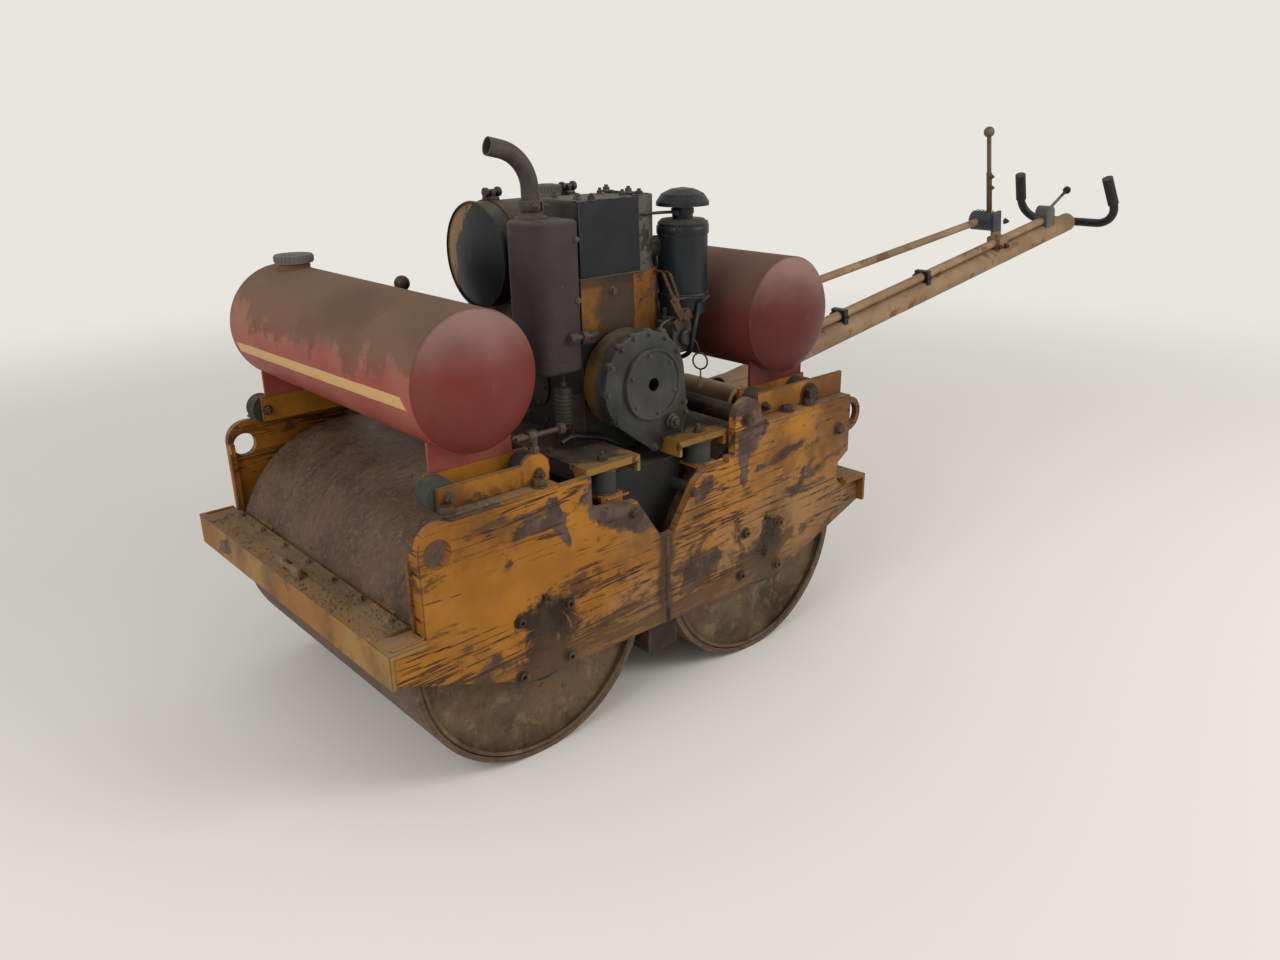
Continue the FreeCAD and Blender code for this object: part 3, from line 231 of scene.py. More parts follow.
class Finish:
    """A material under way: it adds nodes and feeds its main shader."""

    def __init__(self, name, **fixed):
        self.material = bpy.data.materials.new(name)
        self.material.use_nodes = True
        self.tree = self.material.node_tree
        self.shader = self.tree.nodes["Principled BSDF"]
        for socket, value in fixed.items():
            self.shader.inputs[socket.replace("_", " ")].default_value = value
        self.place = self.add("ShaderNodeTexCoord", out="Object")
        self.x, self.y, self.z = self.split(self.place)
        self.normal = self.add("ShaderNodeNewGeometry", out="Normal")
        self.up = self.split(self.normal)[2]

    def add(self, kind, settings=None, sockets=None, out=0):
        """Any node: its settings first, then the values or links of its sockets."""
        node = self.tree.nodes.new(kind)
        for name, value in (settings or {}).items():
            setattr(node, name, value)
        for name, value in (sockets or {}).items():
            self.feed(node.inputs[name], value)
        return Number(self, node.outputs[out])

    def feed(self, socket, value):
        if isinstance(value, Number):
            self.tree.links.new(value.socket, socket)
        else:
            socket.default_value = value

    def split(self, vector):
        node = self.tree.nodes.new("ShaderNodeSeparateXYZ")
        self.tree.links.new(vector.socket, node.inputs[0])
        return [Number(self, socket) for socket in node.outputs]

    def mapped(self, scale=(1, 1, 1), turn=(0, 0, 0), shift=(0, 0, 0)):
        """Object coordinates, turned and then stretched. A small scale makes a long pattern."""
        turned = self.add("ShaderNodeMapping", {"vector_type": "POINT"},
                          {"Vector": self.place, "Rotation": turn})
        return self.add("ShaderNodeMapping", {"vector_type": "POINT"},
                        {"Vector": turned, "Scale": scale, "Location": shift})

    def cloud(self, scale, detail=4.0, rough=0.55, place=None, warp=0.0):
        """Noise from 0 to 1, around 0.5."""
        return self.add("ShaderNodeTexNoise", {},
                        {"Vector": place or self.place, "Scale": scale, "Detail": detail,
                         "Roughness": rough, "Distortion": warp})

    def cells(self, scale, place=None):
        """Distance to the nearest of many scattered points."""
        return self.add("ShaderNodeTexVoronoi", {},
                        {"Vector": place or self.place, "Scale": scale}, out="Distance")

    def edges(self, width=0.004):
        """1 on sharp edges and corners, 0 on flats: the normal there differs from a rounded one."""
        rounded = self.add("ShaderNodeBevel", {"samples": 4}, {"Radius": width})
        match = self.add("ShaderNodeVectorMath", {"operation": "DOT_PRODUCT"},
                         {0: rounded, 1: self.normal}, out="Value")
        return (1 - match).step(0.02, 0.22)

    def mix(self, mask, under, over, how="MIX"):
        """One colour over another, where the mask is 1."""
        return self.add("ShaderNodeMix", {"data_type": "RGBA", "blend_type": how},
                        {0: mask, 6: under, 7: over}, out=2)

    def blend(self, mask, under, over):
        """A number that changes from under to over with the mask."""
        return self.add("ShaderNodeMix", {"data_type": "FLOAT"}, {0: mask, 2: under, 3: over})

    def show(self, colour, rough, height=None, depth=0.001, metal=None):
        self.feed(self.shader.inputs["Base Color"], colour)
        self.feed(self.shader.inputs["Roughness"], rough)
        if metal is not None:
            self.feed(self.shader.inputs["Metallic"], metal)
        if height is not None:
            bump = self.add("ShaderNodeBump", {}, {"Height": height, "Distance": depth,
                                                   "Strength": 1.0})
            self.feed(self.shader.inputs["Normal"], bump)
        return self.material

# %% [markdown]
# The frame is painted ochre yellow, and thirty years of work have gone through the paint. Four things are
# laid over the coat, one by one. Large bare places show the grey-brown primer. Scratches run along the
# sides: they are the contour lines of a noise that is stretched until it is very long, which gives thin,
# slightly wavy lines of even width, and a second noise breaks them into dashes. Chips break out sooner
# on edges, where the Bevel node says that the normal turns. Last comes dust on what faces up.

# %% Old machine paint
def scratches(look, turn, fineness, levels, crowd, shift):
    """Thin broken lines along the machine, at a small angle to the ground."""
    long = look.mapped(scale=(0.5, 0.5, fineness), turn=(0, math.radians(turn), 0), shift=shift)
    waves = look.add("ShaderNodeMath", {"operation": "FRACT"}, {0: look.cloud(1.6, 4.0, 0.6, long, 0.1) * levels})
    lines = 1.0 - (waves - 0.5).size().step(0.045, 0.1)
    place = look.mapped(scale=(1.0, 1.0, 2.2), shift=shift)
    here = look.cloud(2.6, 4.0, 0.62, place).step(0.55 - crowd, 0.62 - crowd)
    dashes = look.cloud(17.0, 6.0, 0.7, look.mapped(scale=(0.7, 1.0, 2.4), shift=shift)).step(0.42, 0.47)
    return lines * here * dashes


def machine_paint(name, shade="a66e1e", worn=0.0, dirt=0.0, bare_shift=(0, 0, 0), plates=False,
                  faded=False):
    """Ochre paint. More worn, it shows more primer; more dirt, the brown film is thicker."""
    look = Finish(name, Specular_IOR_Level=0.2)
    rough_noise = look.cloud(15.0, 7.0, 0.66)
    tint = look.cloud(2.6, 5.0, 0.6)
    coat = look.mix(tint.step(0.36, 0.64), tone(shade), tone("875316"))
    behind = (MIDDLE + 0.55 - look.x) * 0.55
    low = (0.55 - look.z) * 1.1
    pale = (behind + low + (look.cloud(3.3, 6.0, 0.65) - 0.5) * 1.9 - 0.1).step(0.0, 0.75)
    if plates:
        coat = look.mix(pale * 0.75, coat, tone("86684a"))
    # faded: the cowl's flat face turns olive grey, which is faded paint, and then gets painted shade, so the
    # rounded corner keeps the bright coat as a painted highlight.
    if faded:
        side = (look.x - (MIDDLE - 0.064) + (look.cloud(16.0) - 0.5) * 0.012).step(0.0, 0.003)
        grey = side * (look.cloud(5.0, 5.0, 0.6, look.mapped(shift=(2, 0, 5)))
                       + (MIDDLE + 0.06 - look.x) * 3.0).step(0.46, 0.6)
        coat = look.mix(grey * 0.92, coat, tone("35302a"))
        # Painted shade over the flat face, except a band from 0.875 to 0.99 m high.
        shade = side * (1.0 - (look.z - 0.875).step(0.0, 0.03) * (0.99 - look.z).step(0.0, 0.012))
        coat = look.mix(shade * 0.7, coat, tone("1f1c18"))
    edge = look.edges(0.006)

    patch = look.cloud(3.1, 8.0, 0.66, look.mapped(scale=(0.75, 1.0, 1.7), turn=(0, math.radians(-14), 0),
                                                   shift=bare_shift), 0.55)
    if plates:
        patch = patch + (behind - 0.2) * 0.1
        for x0, z0, x1, z1, reach_wide in ((0.405, 0.552, 0.30, 0.565, 0.022), (0.43, 0.50, 0.445, 0.44, 0.03),
                                           (0.15, 0.535, 0.075, 0.49, 0.034), (0.32, 0.60, 0.28, 0.50, 0.016),
                                           (-0.07, 0.29, -0.16, 0.33, 0.035), (-0.25, 0.61, -0.25, 0.50, 0.014),
                                           (-0.30, 0.52, -0.46, 0.55, 0.016), (-0.10, 0.50, -0.13, 0.53, 0.02)):
            slope = math.atan2(z1 - z0, x1 - x0)
            half = math.hypot(x1 - x0, z1 - z0) / 2
            dx = look.x - (MIDDLE + (x0 + x1) / 2)
            dz = look.z - (z0 + z1) / 2
            run = (dx * math.cos(slope) + dz * math.sin(slope)).size() - half
            off = (dz * math.cos(slope) - dx * math.sin(slope)).size()
            spot = 1.0 - (run.most(0.0) + off) / reach_wide
            patch = patch + spot.step(-0.6, 1.0) * 0.14
    gone = (patch + (rough_noise - 0.5) * 0.16 + edge * 0.07).step(0.6 - worn * 0.1, 0.61 - worn * 0.1)
    chip = (rough_noise + edge * 0.3).step(0.72 - worn * 0.1, 0.735 - worn * 0.1)
    lines = chip
    if plates:
        for turn, fineness, levels, crowd, shift in ((-1.0, 9.0, 7.0, 0.07, (0, 0, 0)),
                                                     (-4.0, 13.0, 4.0, 0.05, (3, 1, 2)),
                                                     (-2.0, 18.0, 5.0, 0.04, (5, 7, 2)),
                                                     (3.0, 7.0, 4.0, 0.04, (6, 4, 1))):
            lines = lines.most(scratches(look, turn, fineness, levels, crowd, shift))
    rim = (patch + (rough_noise - 0.5) * 0.16 + edge * 0.1).step(0.575 - worn * 0.1, 0.6 - worn * 0.1)
    primer = look.mix(look.cloud(24.0, 5.0).step(0.4, 0.6), tone("42342d"), tone("5c4a40"))
    rust = look.mix(look.cloud(40.0, 4.0).step(0.4, 0.6), tone("24160e"), tone("452816"))

    film = look.cloud(5.5, 7.0, 0.68)
    if plates:
        film = film + (behind - 0.25).most(0.0) * 0.25
    soil = (film + dirt * 0.25).step(0.5, 0.74)
    colour = look.mix(rim * 0.6, coat, tone("5c3714"))
    colour = look.mix(gone, colour, primer)
    colour = look.mix(soil * 0.62, colour, tone("3f2a18"))
    if plates:
        smears = look.cloud(3.0, 7.0, 0.7, look.mapped(scale=(0.55, 1.0, 2.6), turn=(0, math.radians(-5), 0),
                                                       shift=(9, 2, 5)), 0.4)
        smears = (smears + (look.cloud(19.0, 6.0, 0.72) - 0.5) * 0.3).step(0.57, 0.63)
        colour = look.mix(smears * 0.75, colour, tone("3a2818"))
        chips = look.cloud(34.0, 4.0, 0.7, look.mapped(scale=(0.8, 1.0, 1.7), shift=(1, 1, 7))).step(0.63, 0.66)
        chips = chips * look.cloud(5.0, 4.0, 0.6, look.mapped(shift=(3, 8, 3))).step(0.48, 0.6)
        lines = lines.most(chips)
    colour = look.mix(lines * 0.9, colour, rust)
    rough = look.blend(gone, 0.5, 0.62)
    if plates:
        for axle, spread in ((FRONT_AXLE, 1.0), (REAR_AXLE, 0.72)):
            dx = look.x - axle
            dz = look.z - (AXLE_HEIGHT + 0.03)
            reach = (dx * dx + dz * dz) ** 0.5
            smear = (look.cloud(13.0, 7.0, 0.75, warp=0.9) - 0.5) * 0.26
            grease = 1.0 - (reach / spread + smear).step(0.055, 0.085)
            run = (dx.size() + (look.z - 0.24) * 0.16) / spread
            drip = (1.0 - (run + smear * 0.9).step(0.045, 0.075)) * (AXLE_HEIGHT - look.z).step(-0.03, 0.03)
            grease = grease.most(drip)
            oil = look.mix(look.cloud(22.0, 4.0).step(0.4, 0.62), tone("120e0b"), tone("30251d"))
            colour = look.mix(grease * 0.95, colour, oil)
            rough = look.blend(grease, rough, 0.42)
        seam = 1.0 - ((look.x - MIDDLE - 0.008).size() + (rough_noise - 0.5) * 0.06).step(0.012, 0.034)
        colour = look.mix(seam * 0.85, colour, tone("33281f"))
        mud = (0.34 - look.z + (look.cloud(9.0, 6.0, 0.7) - 0.5) * 0.22).step(0.0, 0.12)
        colour = look.mix(mud * 0.7, colour, tone("5c432c"))
    dust = look.up.step(0.45, 0.95) * look.cloud(22.0, 4.0, 0.6).step(0.25, 0.6)
    colour = look.mix(dust * 0.72, colour, tone("83705a"))
    rough = look.blend(dust, rough, 0.9)
    height = rough_noise * 0.2 - gone * 0.5 - lines * 0.9
    return look.show(colour, rough, height, 0.0008)


plate_paint = machine_paint("plate_paint", plates=True, bare_shift=(1.3, 0, 0.6))
bracket_paint = machine_paint("bracket_paint", worn=0.15, dirt=0.35, bare_shift=(2, 5, 1))
bumper_paint = machine_paint("bumper_paint", shade="96743c", worn=0.25, dirt=0.35, bare_shift=(5, 1, 2))
engine_paint = machine_paint("engine_paint", shade="6f4c1c", worn=0.45, dirt=1.0, bare_shift=(8, 2, 2))
cowl_paint = machine_paint("cowl_paint", shade="8a5d1c", worn=0.1, dirt=0.5, bare_shift=(4, 4, 4), faded=True)

# %% [markdown]
# The water tanks are red. The front tank's upper half has lost its colour to dust and sun, and it keeps a
# plain cream stripe low on its front. The stripe is drawn by angle round the tank's axis, because that
# is how a painter's tape runs on a round tank. Dust lies where the surface faces up, and noise breaks
# its border so that it does not look like a second paint.

# %% Tank paint
def tank_paint(name, axis_x, axis_z, base, faded, dust_tone, stripe=False, dusty=1.0):
    look = Finish(name, Specular_IOR_Level=0.25)
    patches = look.cloud(5.0, 6.0, 0.6, warp=0.4)
    colour = look.mix(patches.step(0.4, 0.62), base, faded)
    dome = look.y.size().step(0.424, 0.428)
    worn = (look.cloud(9.0, 6.0, 0.65) + (look.z - axis_z) * 1.6).step(0.52, 0.6) * (1.0 - dome)
    if stripe:
        angle = look.add("ShaderNodeMath", {"operation": "ARCTAN2"},
                         {0: look.z - axis_z, 1: look.x - axis_x})
        line = angle - look.y * math.radians(10) + math.radians(13)
        band = 1.0 - (line.size() + (look.cloud(30.0, 4.0) - 0.5) * 0.03).step(0.085, 0.095)
        end = (look.y + line * 0.09).step(0.392, 0.397)
        band = band * (1.0 - end) * (look.y + 0.41).step(0.0, 0.01)
        above = (line + (look.cloud(14.0, 5.0, 0.7) - 0.5) * 0.5).step(0.1, 0.7)
        colour = look.mix(above * (1.0 - dome) * 0.6, colour, tone("8a6650"))
        wear = look.cloud(18.0, 5.0, 0.7).step(0.62, 0.68)
        colour = look.mix(band * (1.0 - wear * 0.8), colour, tone("c39a62"))
    dust = (look.up + (look.cloud(6.0, 6.0, 0.62) - 0.5) * 1.1).step(0.05, 0.85) * dusty
    colour = look.mix(worn * dusty * 0.55, colour, tone("594434"))
    colour = look.mix(dust * 0.78, colour, look.mix(look.cloud(3.0).step(0.4, 0.65),
                                                     dust_tone, tone("5f4b39")))
    # Painted shade: the tank ends are coloured a darker red than the shell.
    colour = look.mix(dome * 0.6, colour, tone("4c130f"))
    # Paler towards the top of each end: dust, and a painted highlight.
    dust_and_highlight = dome * ((look.z - axis_z) * 4.0 + look.up * 0.7 + (look.cloud(7.0, 5.0) - 0.5) * 0.8).step(0.1, 1.2)
    colour = look.mix(dust_and_highlight * 0.7, colour, tone("9d7d74"))
    chip = (look.cloud(26.0, 6.0, 0.65) + look.edges(0.005) * 0.2).step(0.72, 0.74)
    colour = look.mix(chip * 0.85, colour, tone("43302a"))
    seam = 1.0 - (look.y.size() - 0.426).size().step(0.001, 0.004)
    colour = look.mix(seam * 0.3, colour, tone("3d2722"))
    rough = look.blend(dust.most(worn * 0.7), 0.5, 0.88)
    height = look.cloud(40.0, 5.0, 0.6) * 0.3 - chip * 0.6
    return look.show(colour, rough, height, 0.0008)


tank_front_paint = tank_paint("tank_front_paint", TANK_FRONT, 0.871, tone("8a3a30"), tone("8f4c3b"), tone("6f5a46"),
                              stripe=True)
# The rear tank gets a darker red than the front one. This is painted shade, as the rear tank stands in shadow.
tank_rear_shaded_paint = tank_paint("tank_rear_shaded_paint", TANK_REAR, 0.871, tone("5a221e"), tone("643029"), tone("70574c"),
                             dusty=0.75)

# %% [markdown]
# The drums are plain rolled steel. Earth sticks to them in mottled brown patches, and the surface shows
# faint rings, because stones scratch it only in the rolling direction. On the end plates a little of
# the red shop primer is left.

# %% Drum steel
def drum_steel(name, axle):
    look = Finish(name, Specular_IOR_Level=0.4)
    dx = look.x - axle
    dz = look.z - AXLE_HEIGHT
    reach = (dx * dx + dz * dz) ** 0.5
    mottle = look.cloud(7.0, 7.0, 0.66, warp=0.5)
    colour = look.mix(mottle.step(0.36, 0.66), tone("4a3628"), tone("6a5340"))
    rings = look.cloud(4.0, 3.0, 0.5, look.mapped(scale=(0.6, 26.0, 0.6)))
    colour = look.mix(rings.step(0.45, 0.7) * 0.22, colour, tone("3a2c22"))
    grit = look.cloud(70.0, 4.0, 0.75).step(0.5, 0.62)
    colour = look.mix(grit * 0.5, colour, tone("745f4b"))
    pits = look.cloud(48.0, 5.0, 0.75, look.mapped(shift=(3, 3, 3))).step(0.56, 0.64)
    colour = look.mix(pits * 0.55, colour, tone("2e2119"))
    rust = look.cloud(3.2, 6.0, 0.7, warp=0.8).step(0.54, 0.68)
    colour = look.mix(rust * 0.45, colour, tone("58361f"))
    specks = (1.0 - look.cells(60.0).step(0.06, 0.16)) * look.cloud(8.0).step(0.52, 0.6)
    colour = look.mix(specks * 0.75, colour, tone("95836d"))
    side = look.y.size().step(0.4, 0.414) * (1.0 - reach.step(0.285, 0.29))
    earth = look.cloud(5.0, 6.0, 0.6).step(0.34, 0.6)
    face = look.mix(earth, tone("3f3020"), tone("5f4a33"))
    streaks = look.cloud(9.0, 6.0, 0.7, look.mapped(scale=(1.0, 1.0, 0.35))).step(0.5, 0.62)
    face = look.mix(streaks * 0.5, face, tone("70593f"))
    face = look.mix(pits * 0.6, face, tone("33261a"))
    flakes = look.cloud(17.0, 7.0, 0.75, look.mapped(shift=(8, 5, 2))).step(0.52, 0.62)
    face = look.mix(flakes * 0.35, face, tone("8a7657"))
    primer = (look.cloud(2.6, 5.0, 0.6, look.mapped(shift=(4, 2, 1)))).step(0.58, 0.68)
    face = look.mix(primer * 0.6, face, tone("5a2c1f"))
    colour = look.mix(side, colour, face)
    rim = look.edges(0.006) * look.cloud(20.0).step(0.35, 0.6)
    colour = look.mix(rim * 0.6, colour, tone("75614c"))
    rough = look.blend(mottle.step(0.3, 0.7), 0.55, 0.85)
    height = mottle * 0.5 + look.cloud(38.0, 5.0, 0.7) * 0.4
    return look.show(colour, rough, height, 0.0016, metal=look.blend(rust.most(earth), 0.35, 0.0))


drum_front_steel = drum_steel("drum_front_steel", FRONT_AXLE)
drum_rear_steel = drum_steel("drum_rear_steel", REAR_AXLE)

# %% [markdown]
# The engine is cast iron under a skin of old oil. Cast iron is rough on a small scale, so the bump is
# fine and grainy. Oil makes dark, smoother patches, and dust settles on what faces up. The same
# recipe with other colours gives the exhaust, the black sheet parts and the worn shafts.

# %% Engine, exhaust, black sheet and bare steel
def old_metal(name, dark, light, rusty="6a4128", rust=0.2, dust=0.6, grain=70.0, rough=0.55,
              metal=0.0, oil=0.5, depth=0.0007, spray_and_highlight=None, hole=None):
    look = Finish(name, Specular_IOR_Level=0.3)
    tint = look.cloud(6.0, 6.0, 0.62, warp=0.3)
    colour = look.mix(tint.step(0.36, 0.66), tone(dark), tone(light))
    # spray_and_highlight lays a second colour where its mask is. On most parts this is a real paint patch or a
    # black knob. On the head's rounded corner it is a painted highlight.
    if spray_and_highlight:
        shade, where = spray_and_highlight
        wear_and_gaps = look.cloud(19.0, 6.0, 0.66).step(0.56, 0.6)
        colour = look.mix(where(look) * (1.0 - wear_and_gaps * 0.8), colour, tone(shade))
    spots = (look.cloud(11.0, 7.0, 0.68) + look.edges(0.004) * 0.12).step(0.7 - rust * 0.3, 0.76 - rust * 0.25)
    colour = look.mix(spots * 0.85, colour, tone(rusty))
    wear = look.edges(0.0025) * look.cloud(24.0).step(0.4, 0.6)
    colour = look.mix(wear * 0.6, colour, tone("7d766a"))
    wet = look.cloud(3.4, 5.0, 0.6, look.mapped(shift=(7, 1, 3))).step(0.52, 0.62) * oil
    colour = look.mix(wet * 0.6, colour, tone("17140f"))
    powder = look.up.step(0.35, 0.95) * look.cloud(15.0, 5.0, 0.62).step(0.3, 0.64) * dust
    colour = look.mix(powder * 0.75, colour, tone("6f6152"))
    # Painted shade: inside the hole, the bore wall and bottom are coloured near black.
    if hole:
        colour = look.mix(1.0 - hole(look).step(0.0152, 0.0157), colour, tone("040404"))
    shine = look.blend(wet, rough, 0.3)
    shine = look.blend(spots.most(powder), shine, 0.88)
    height = look.cloud(grain, 4.0, 0.6) * 0.4 + spots * 0.3
    return look.show(colour, shine, height, depth, metal=metal)


CRANK = Vector(next(mount["pos_m"] for mount in frame["record"]["mounts"] if mount["name"] == "crank_socket"))
engine_iron = old_metal("engine_iron", "202224", "383937", rust=0.08, dust=0.75, oil=0.8)
case_iron = old_metal("case_iron", "17181a", "282825", rust=0.15, dust=0.7, oil=0.9)
cover_iron = old_metal("cover_iron", "252627", "3e3e3c", rust=0.06, dust=0.75, oil=0.8,
                       spray_and_highlight=("60421a", lambda look: (0.352 - look.y + (look.cloud(9.0) - 0.5) * 0.05)
                              .step(0.0, 0.012) * (look.x - MIDDLE - 0.02).step(0.0, 0.03)),
                       hole=lambda look: ((look.x - CRANK.x) ** 2 + (look.z - CRANK.z) ** 2) ** 0.5)
# The pale strip on the head's rounded rear corner is a painted highlight, where the curve catches the light.
head_iron = old_metal("head_iron", "0b0d10", "17191c", rust=0.03, dust=0.7, oil=0.3, rough=0.65,
                      spray_and_highlight=("504e44", lambda look: (MIDDLE - 0.088 - look.x
                             + (look.cloud(14.0) - 0.5) * 0.02).step(0.0, 0.003)))
engine_alloy = old_metal("engine_alloy", "34332f", "504d47", rust=0.02, dust=0.7, metal=0.4)
exhaust_brown = old_metal("exhaust_brown", "2c2526", "3b3232", rusty="6a4a3c", rust=0.22, dust=0.6,
                          rough=0.72, oil=0.0, grain=110.0)
exhaust_grey = old_metal("exhaust_grey", "332e2c", "4c4643", rusty="6b4b38", rust=0.3, dust=0.4,
                         rough=0.6, oil=0.0)
black_sheet = old_metal("black_sheet", "0e1216", "181c21", rusty="5b4434", rust=0.04, dust=0.65,
                        rough=0.42, oil=0.2, depth=0.0004)
dry_mud = old_metal("dry_mud", "644e33", "8a714d", rusty="5f4730", rust=0.3, dust=0.6, rough=0.92,
                    oil=0.0, grain=190.0)
rusty_steel = old_metal("rusty_steel", "3f2a1b", "573a22", rusty="7a4a26", rust=0.55, dust=0.3, metal=0.2,
                        oil=0.2)
fuel_sheet = old_metal("fuel_sheet", "0e1216", "181c21", rusty="5b4434", rust=0.04, dust=0.7,
                       rough=0.42, oil=0.2, depth=0.0004,
                       spray_and_highlight=("765424", lambda look: ((-0.105 - look.y) * 1.2 + (look.z - 1.02) * 0.5
                              + (look.cloud(12.0, 6.0, 0.66) - 0.5) * 0.12).step(0.0, 0.006)))
beam_steel = old_metal("beam_steel", "2c221a", "473829", rust=0.4, dust=0.5, rough=0.85, oil=0.2)
rail_paint = old_metal("rail_paint", "1c1916", "352c22", rust=0.3, dust=0.55, rough=0.6, oil=0.5,
                       spray_and_highlight=("87601f", lambda look: (look.y.size() - 0.395 + (look.cloud(11.0, 5.0, 0.7) - 0.5)
                              * 0.16).step(0.0, 0.01)))
hub_paint = old_metal("hub_paint", "33373c", "494e54", rust=0.1, dust=0.5, oil=0.1,
                      spray_and_highlight=("80634a", lambda look: (look.y - 0.0145).step(0.0, 0.001)
                             .most(1.0 - (look.z - 0.886).step(0.0, 0.002))))
lever_steel = old_metal("lever_steel", "4a3c33", "6a5a4e", rust=0.45, dust=0.3, metal=0.4, oil=0.1,
                        spray_and_highlight=("121214", lambda look: (look.z - 1.2615).step(0.0, 0.001)))
throttle_steel = old_metal("throttle_steel", "4c4a45", "68665f", rust=0.2, dust=0.5, metal=0.2, oil=0.1,
                           spray_and_highlight=("121214", lambda look: (look.z - 0.986).step(0.0, 0.001)))
worn_steel = old_metal("worn_steel", "32291f", "4f4336", rust=0.5, dust=0.5, metal=0.5, oil=0.6)
tan_paint = old_metal("tan_paint", "806548", "967a5a", rusty="6b4429", rust=0.5, dust=0.3,
                      rough=0.62, oil=0.1)
dull_rubber = old_metal("dull_rubber", "2c2d29", "40413b", rusty="5b5547", rust=0.1, dust=0.5,
                        grain=160.0, rough=0.85, oil=0.1)
grip_rubber = old_metal("grip_rubber", "191919", "262626", rusty="3a352f", rust=0.0, dust=0.3,
                        grain=220.0, rough=0.7, oil=0.0, depth=0.0003)
cap_grey = old_metal("cap_grey", "565550", "6f6d65", rusty="6b5b49", rust=0.1, dust=0.6,
                     grain=120.0, rough=0.75, oil=0.0)

# %% [markdown]
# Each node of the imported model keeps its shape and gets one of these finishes. The solids stay as they
# are, because the checks run on them.

# %% Give every solid its finish
wardrobe = {
    plate_paint: "side_plate_front_left side_plate_front_right side_plate_rear_left "
                 "side_plate_rear_right",
    bumper_paint: "bumpers",
    bracket_paint: "engine_brackets cradle_angles cradle_bars",
    beam_steel: "centre_beam",
    dry_mud: "bumper_scrapers",
    rail_paint: "engine_rails",
    engine_paint: "bell_plate belt_guard",
    cowl_paint: "cylinder_cowl",
    tank_front_paint: "water_tank_front",
    tank_rear_shaded_paint: "water_tank_rear",
    drum_front_steel: "front_drum_shell",
    drum_rear_steel: "rear_drum_shell",
    engine_iron: "fan_housing drum_bearings",
    case_iron: "crankcase gear_housing",
    cover_iron: "gear_cover",
    head_iron: "cylinder_head",
    engine_alloy: "rocker_cover",
    exhaust_brown: "muffler",
    exhaust_grey: "exhaust_pipe",
    black_sheet: "air_filter handlebar conduit_clips",
    hub_paint: "lever_hub",
    lever_steel: "travel_lever",
    throttle_steel: "throttle",
    fuel_sheet: "fuel_tank",
    worn_steel: "centre_scrapers cross_shafts fuel_straps selector_lever",
    tan_paint: "drawbar_root drawbar_tube conduit shift_linkage",
    dull_rubber: "engine_mounts cradle_buffers",
    grip_rubber: "grips",
    cap_grey: "fuel_cap water_caps",
}
for finish, names in wardrobe.items():
    for name in names.split():
        mesh = nodes[name].data
        mesh.materials.clear()
        mesh.materials.append(finish)
dressed = {name for names in wardrobe.values() for name in names.split()}
print("nodes without a finish:", sorted(set(nodes) - dressed))

# %% [markdown]
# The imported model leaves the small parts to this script. They are made with a few shop tools. A turned part
# is an outline of (radius, height) pairs spun round a line, as on a lathe, and with six steps the same
# outline gives a hexagon. A pipe is a smooth curve with a round section, made a mesh at once. A weld is
# a pipe too, whose radius swells and shrinks every few millimetres. Copies of a pattern are put where
# they belong, and everything of one kind becomes one piece.

# %% Shop tools
def turned(outline, steps=24):
    """A shape spun round Z from (radius, height) pairs. Six steps give a hexagon."""
    shape = bmesh.new()
    points = [shape.verts.new((radius, 0.0, height)) for radius, height in outline]
    edges = [shape.edges.new(pair) for pair in zip(points, points[1:])]
    bmesh.ops.spin(shape, geom=points + edges, cent=(0, 0, 0), axis=(0, 0, 1), angle=math.tau,
                   steps=steps, use_merge=True)
    bmesh.ops.remove_doubles(shape, verts=shape.verts, dist=1e-6)
    bmesh.ops.recalc_face_normals(shape, faces=shape.faces)
    return shape


def plate(long, wide, tall, edge=0.0015):
    """A flat block with softened edges, standing on Z 0."""
    shape = bmesh.new()
    bmesh.ops.create_cube(shape, size=1.0)
    bmesh.ops.scale(shape, vec=(long, wide, tall), verts=shape.verts)
    bmesh.ops.translate(shape, vec=(0, 0, tall / 2), verts=shape.verts)
    bmesh.ops.bevel(shape, geom=shape.edges[:], offset=edge, segments=2, profile=0.5,
                    affect="EDGES", material=-1)
    return shape


def put(target, pattern, place, along=(0, 0, 1), spin=0.0):
    """A copy of a pattern at a place, with its Z pointing along a direction."""
    turn = Vector(along).to_track_quat("Z", "Y").to_matrix().to_4x4()
    data = bpy.data.meshes.new("pattern")
    pattern.to_mesh(data)
    data.transform(Matrix.Translation(place) @ turn @ Matrix.Rotation(spin, 4, "Z"))
    target.from_mesh(data)
    bpy.data.meshes.remove(data)


def pipe(target, points, radius, swell=(), order=3, sides=3):
    """A round pipe that runs smoothly near the points. Swell changes its radius point by point."""
    data = bpy.data.curves.new("pipe", "CURVE")
    data.dimensions = "3D"
    data.bevel_depth = radius
    data.bevel_resolution = sides
    data.use_fill_caps = True
    data.resolution_u = 8
    line = data.splines.new("NURBS" if order > 2 else "POLY")
    line.points.add(len(points) - 1)
    for number, place in enumerate(points):
        line.points[number].co = (*place, 1.0)
        if swell:
            line.points[number].radius = swell[number % len(swell)]
    if order > 2:
        line.order_u = order
        line.use_endpoint_u = True
    curve = bpy.data.objects.new("pipe", data)
    mesh = bpy.data.meshes.new_from_object(curve)
    target.from_mesh(mesh)
    bpy.data.objects.remove(curve)
    bpy.data.curves.remove(data)
    bpy.data.meshes.remove(mesh)


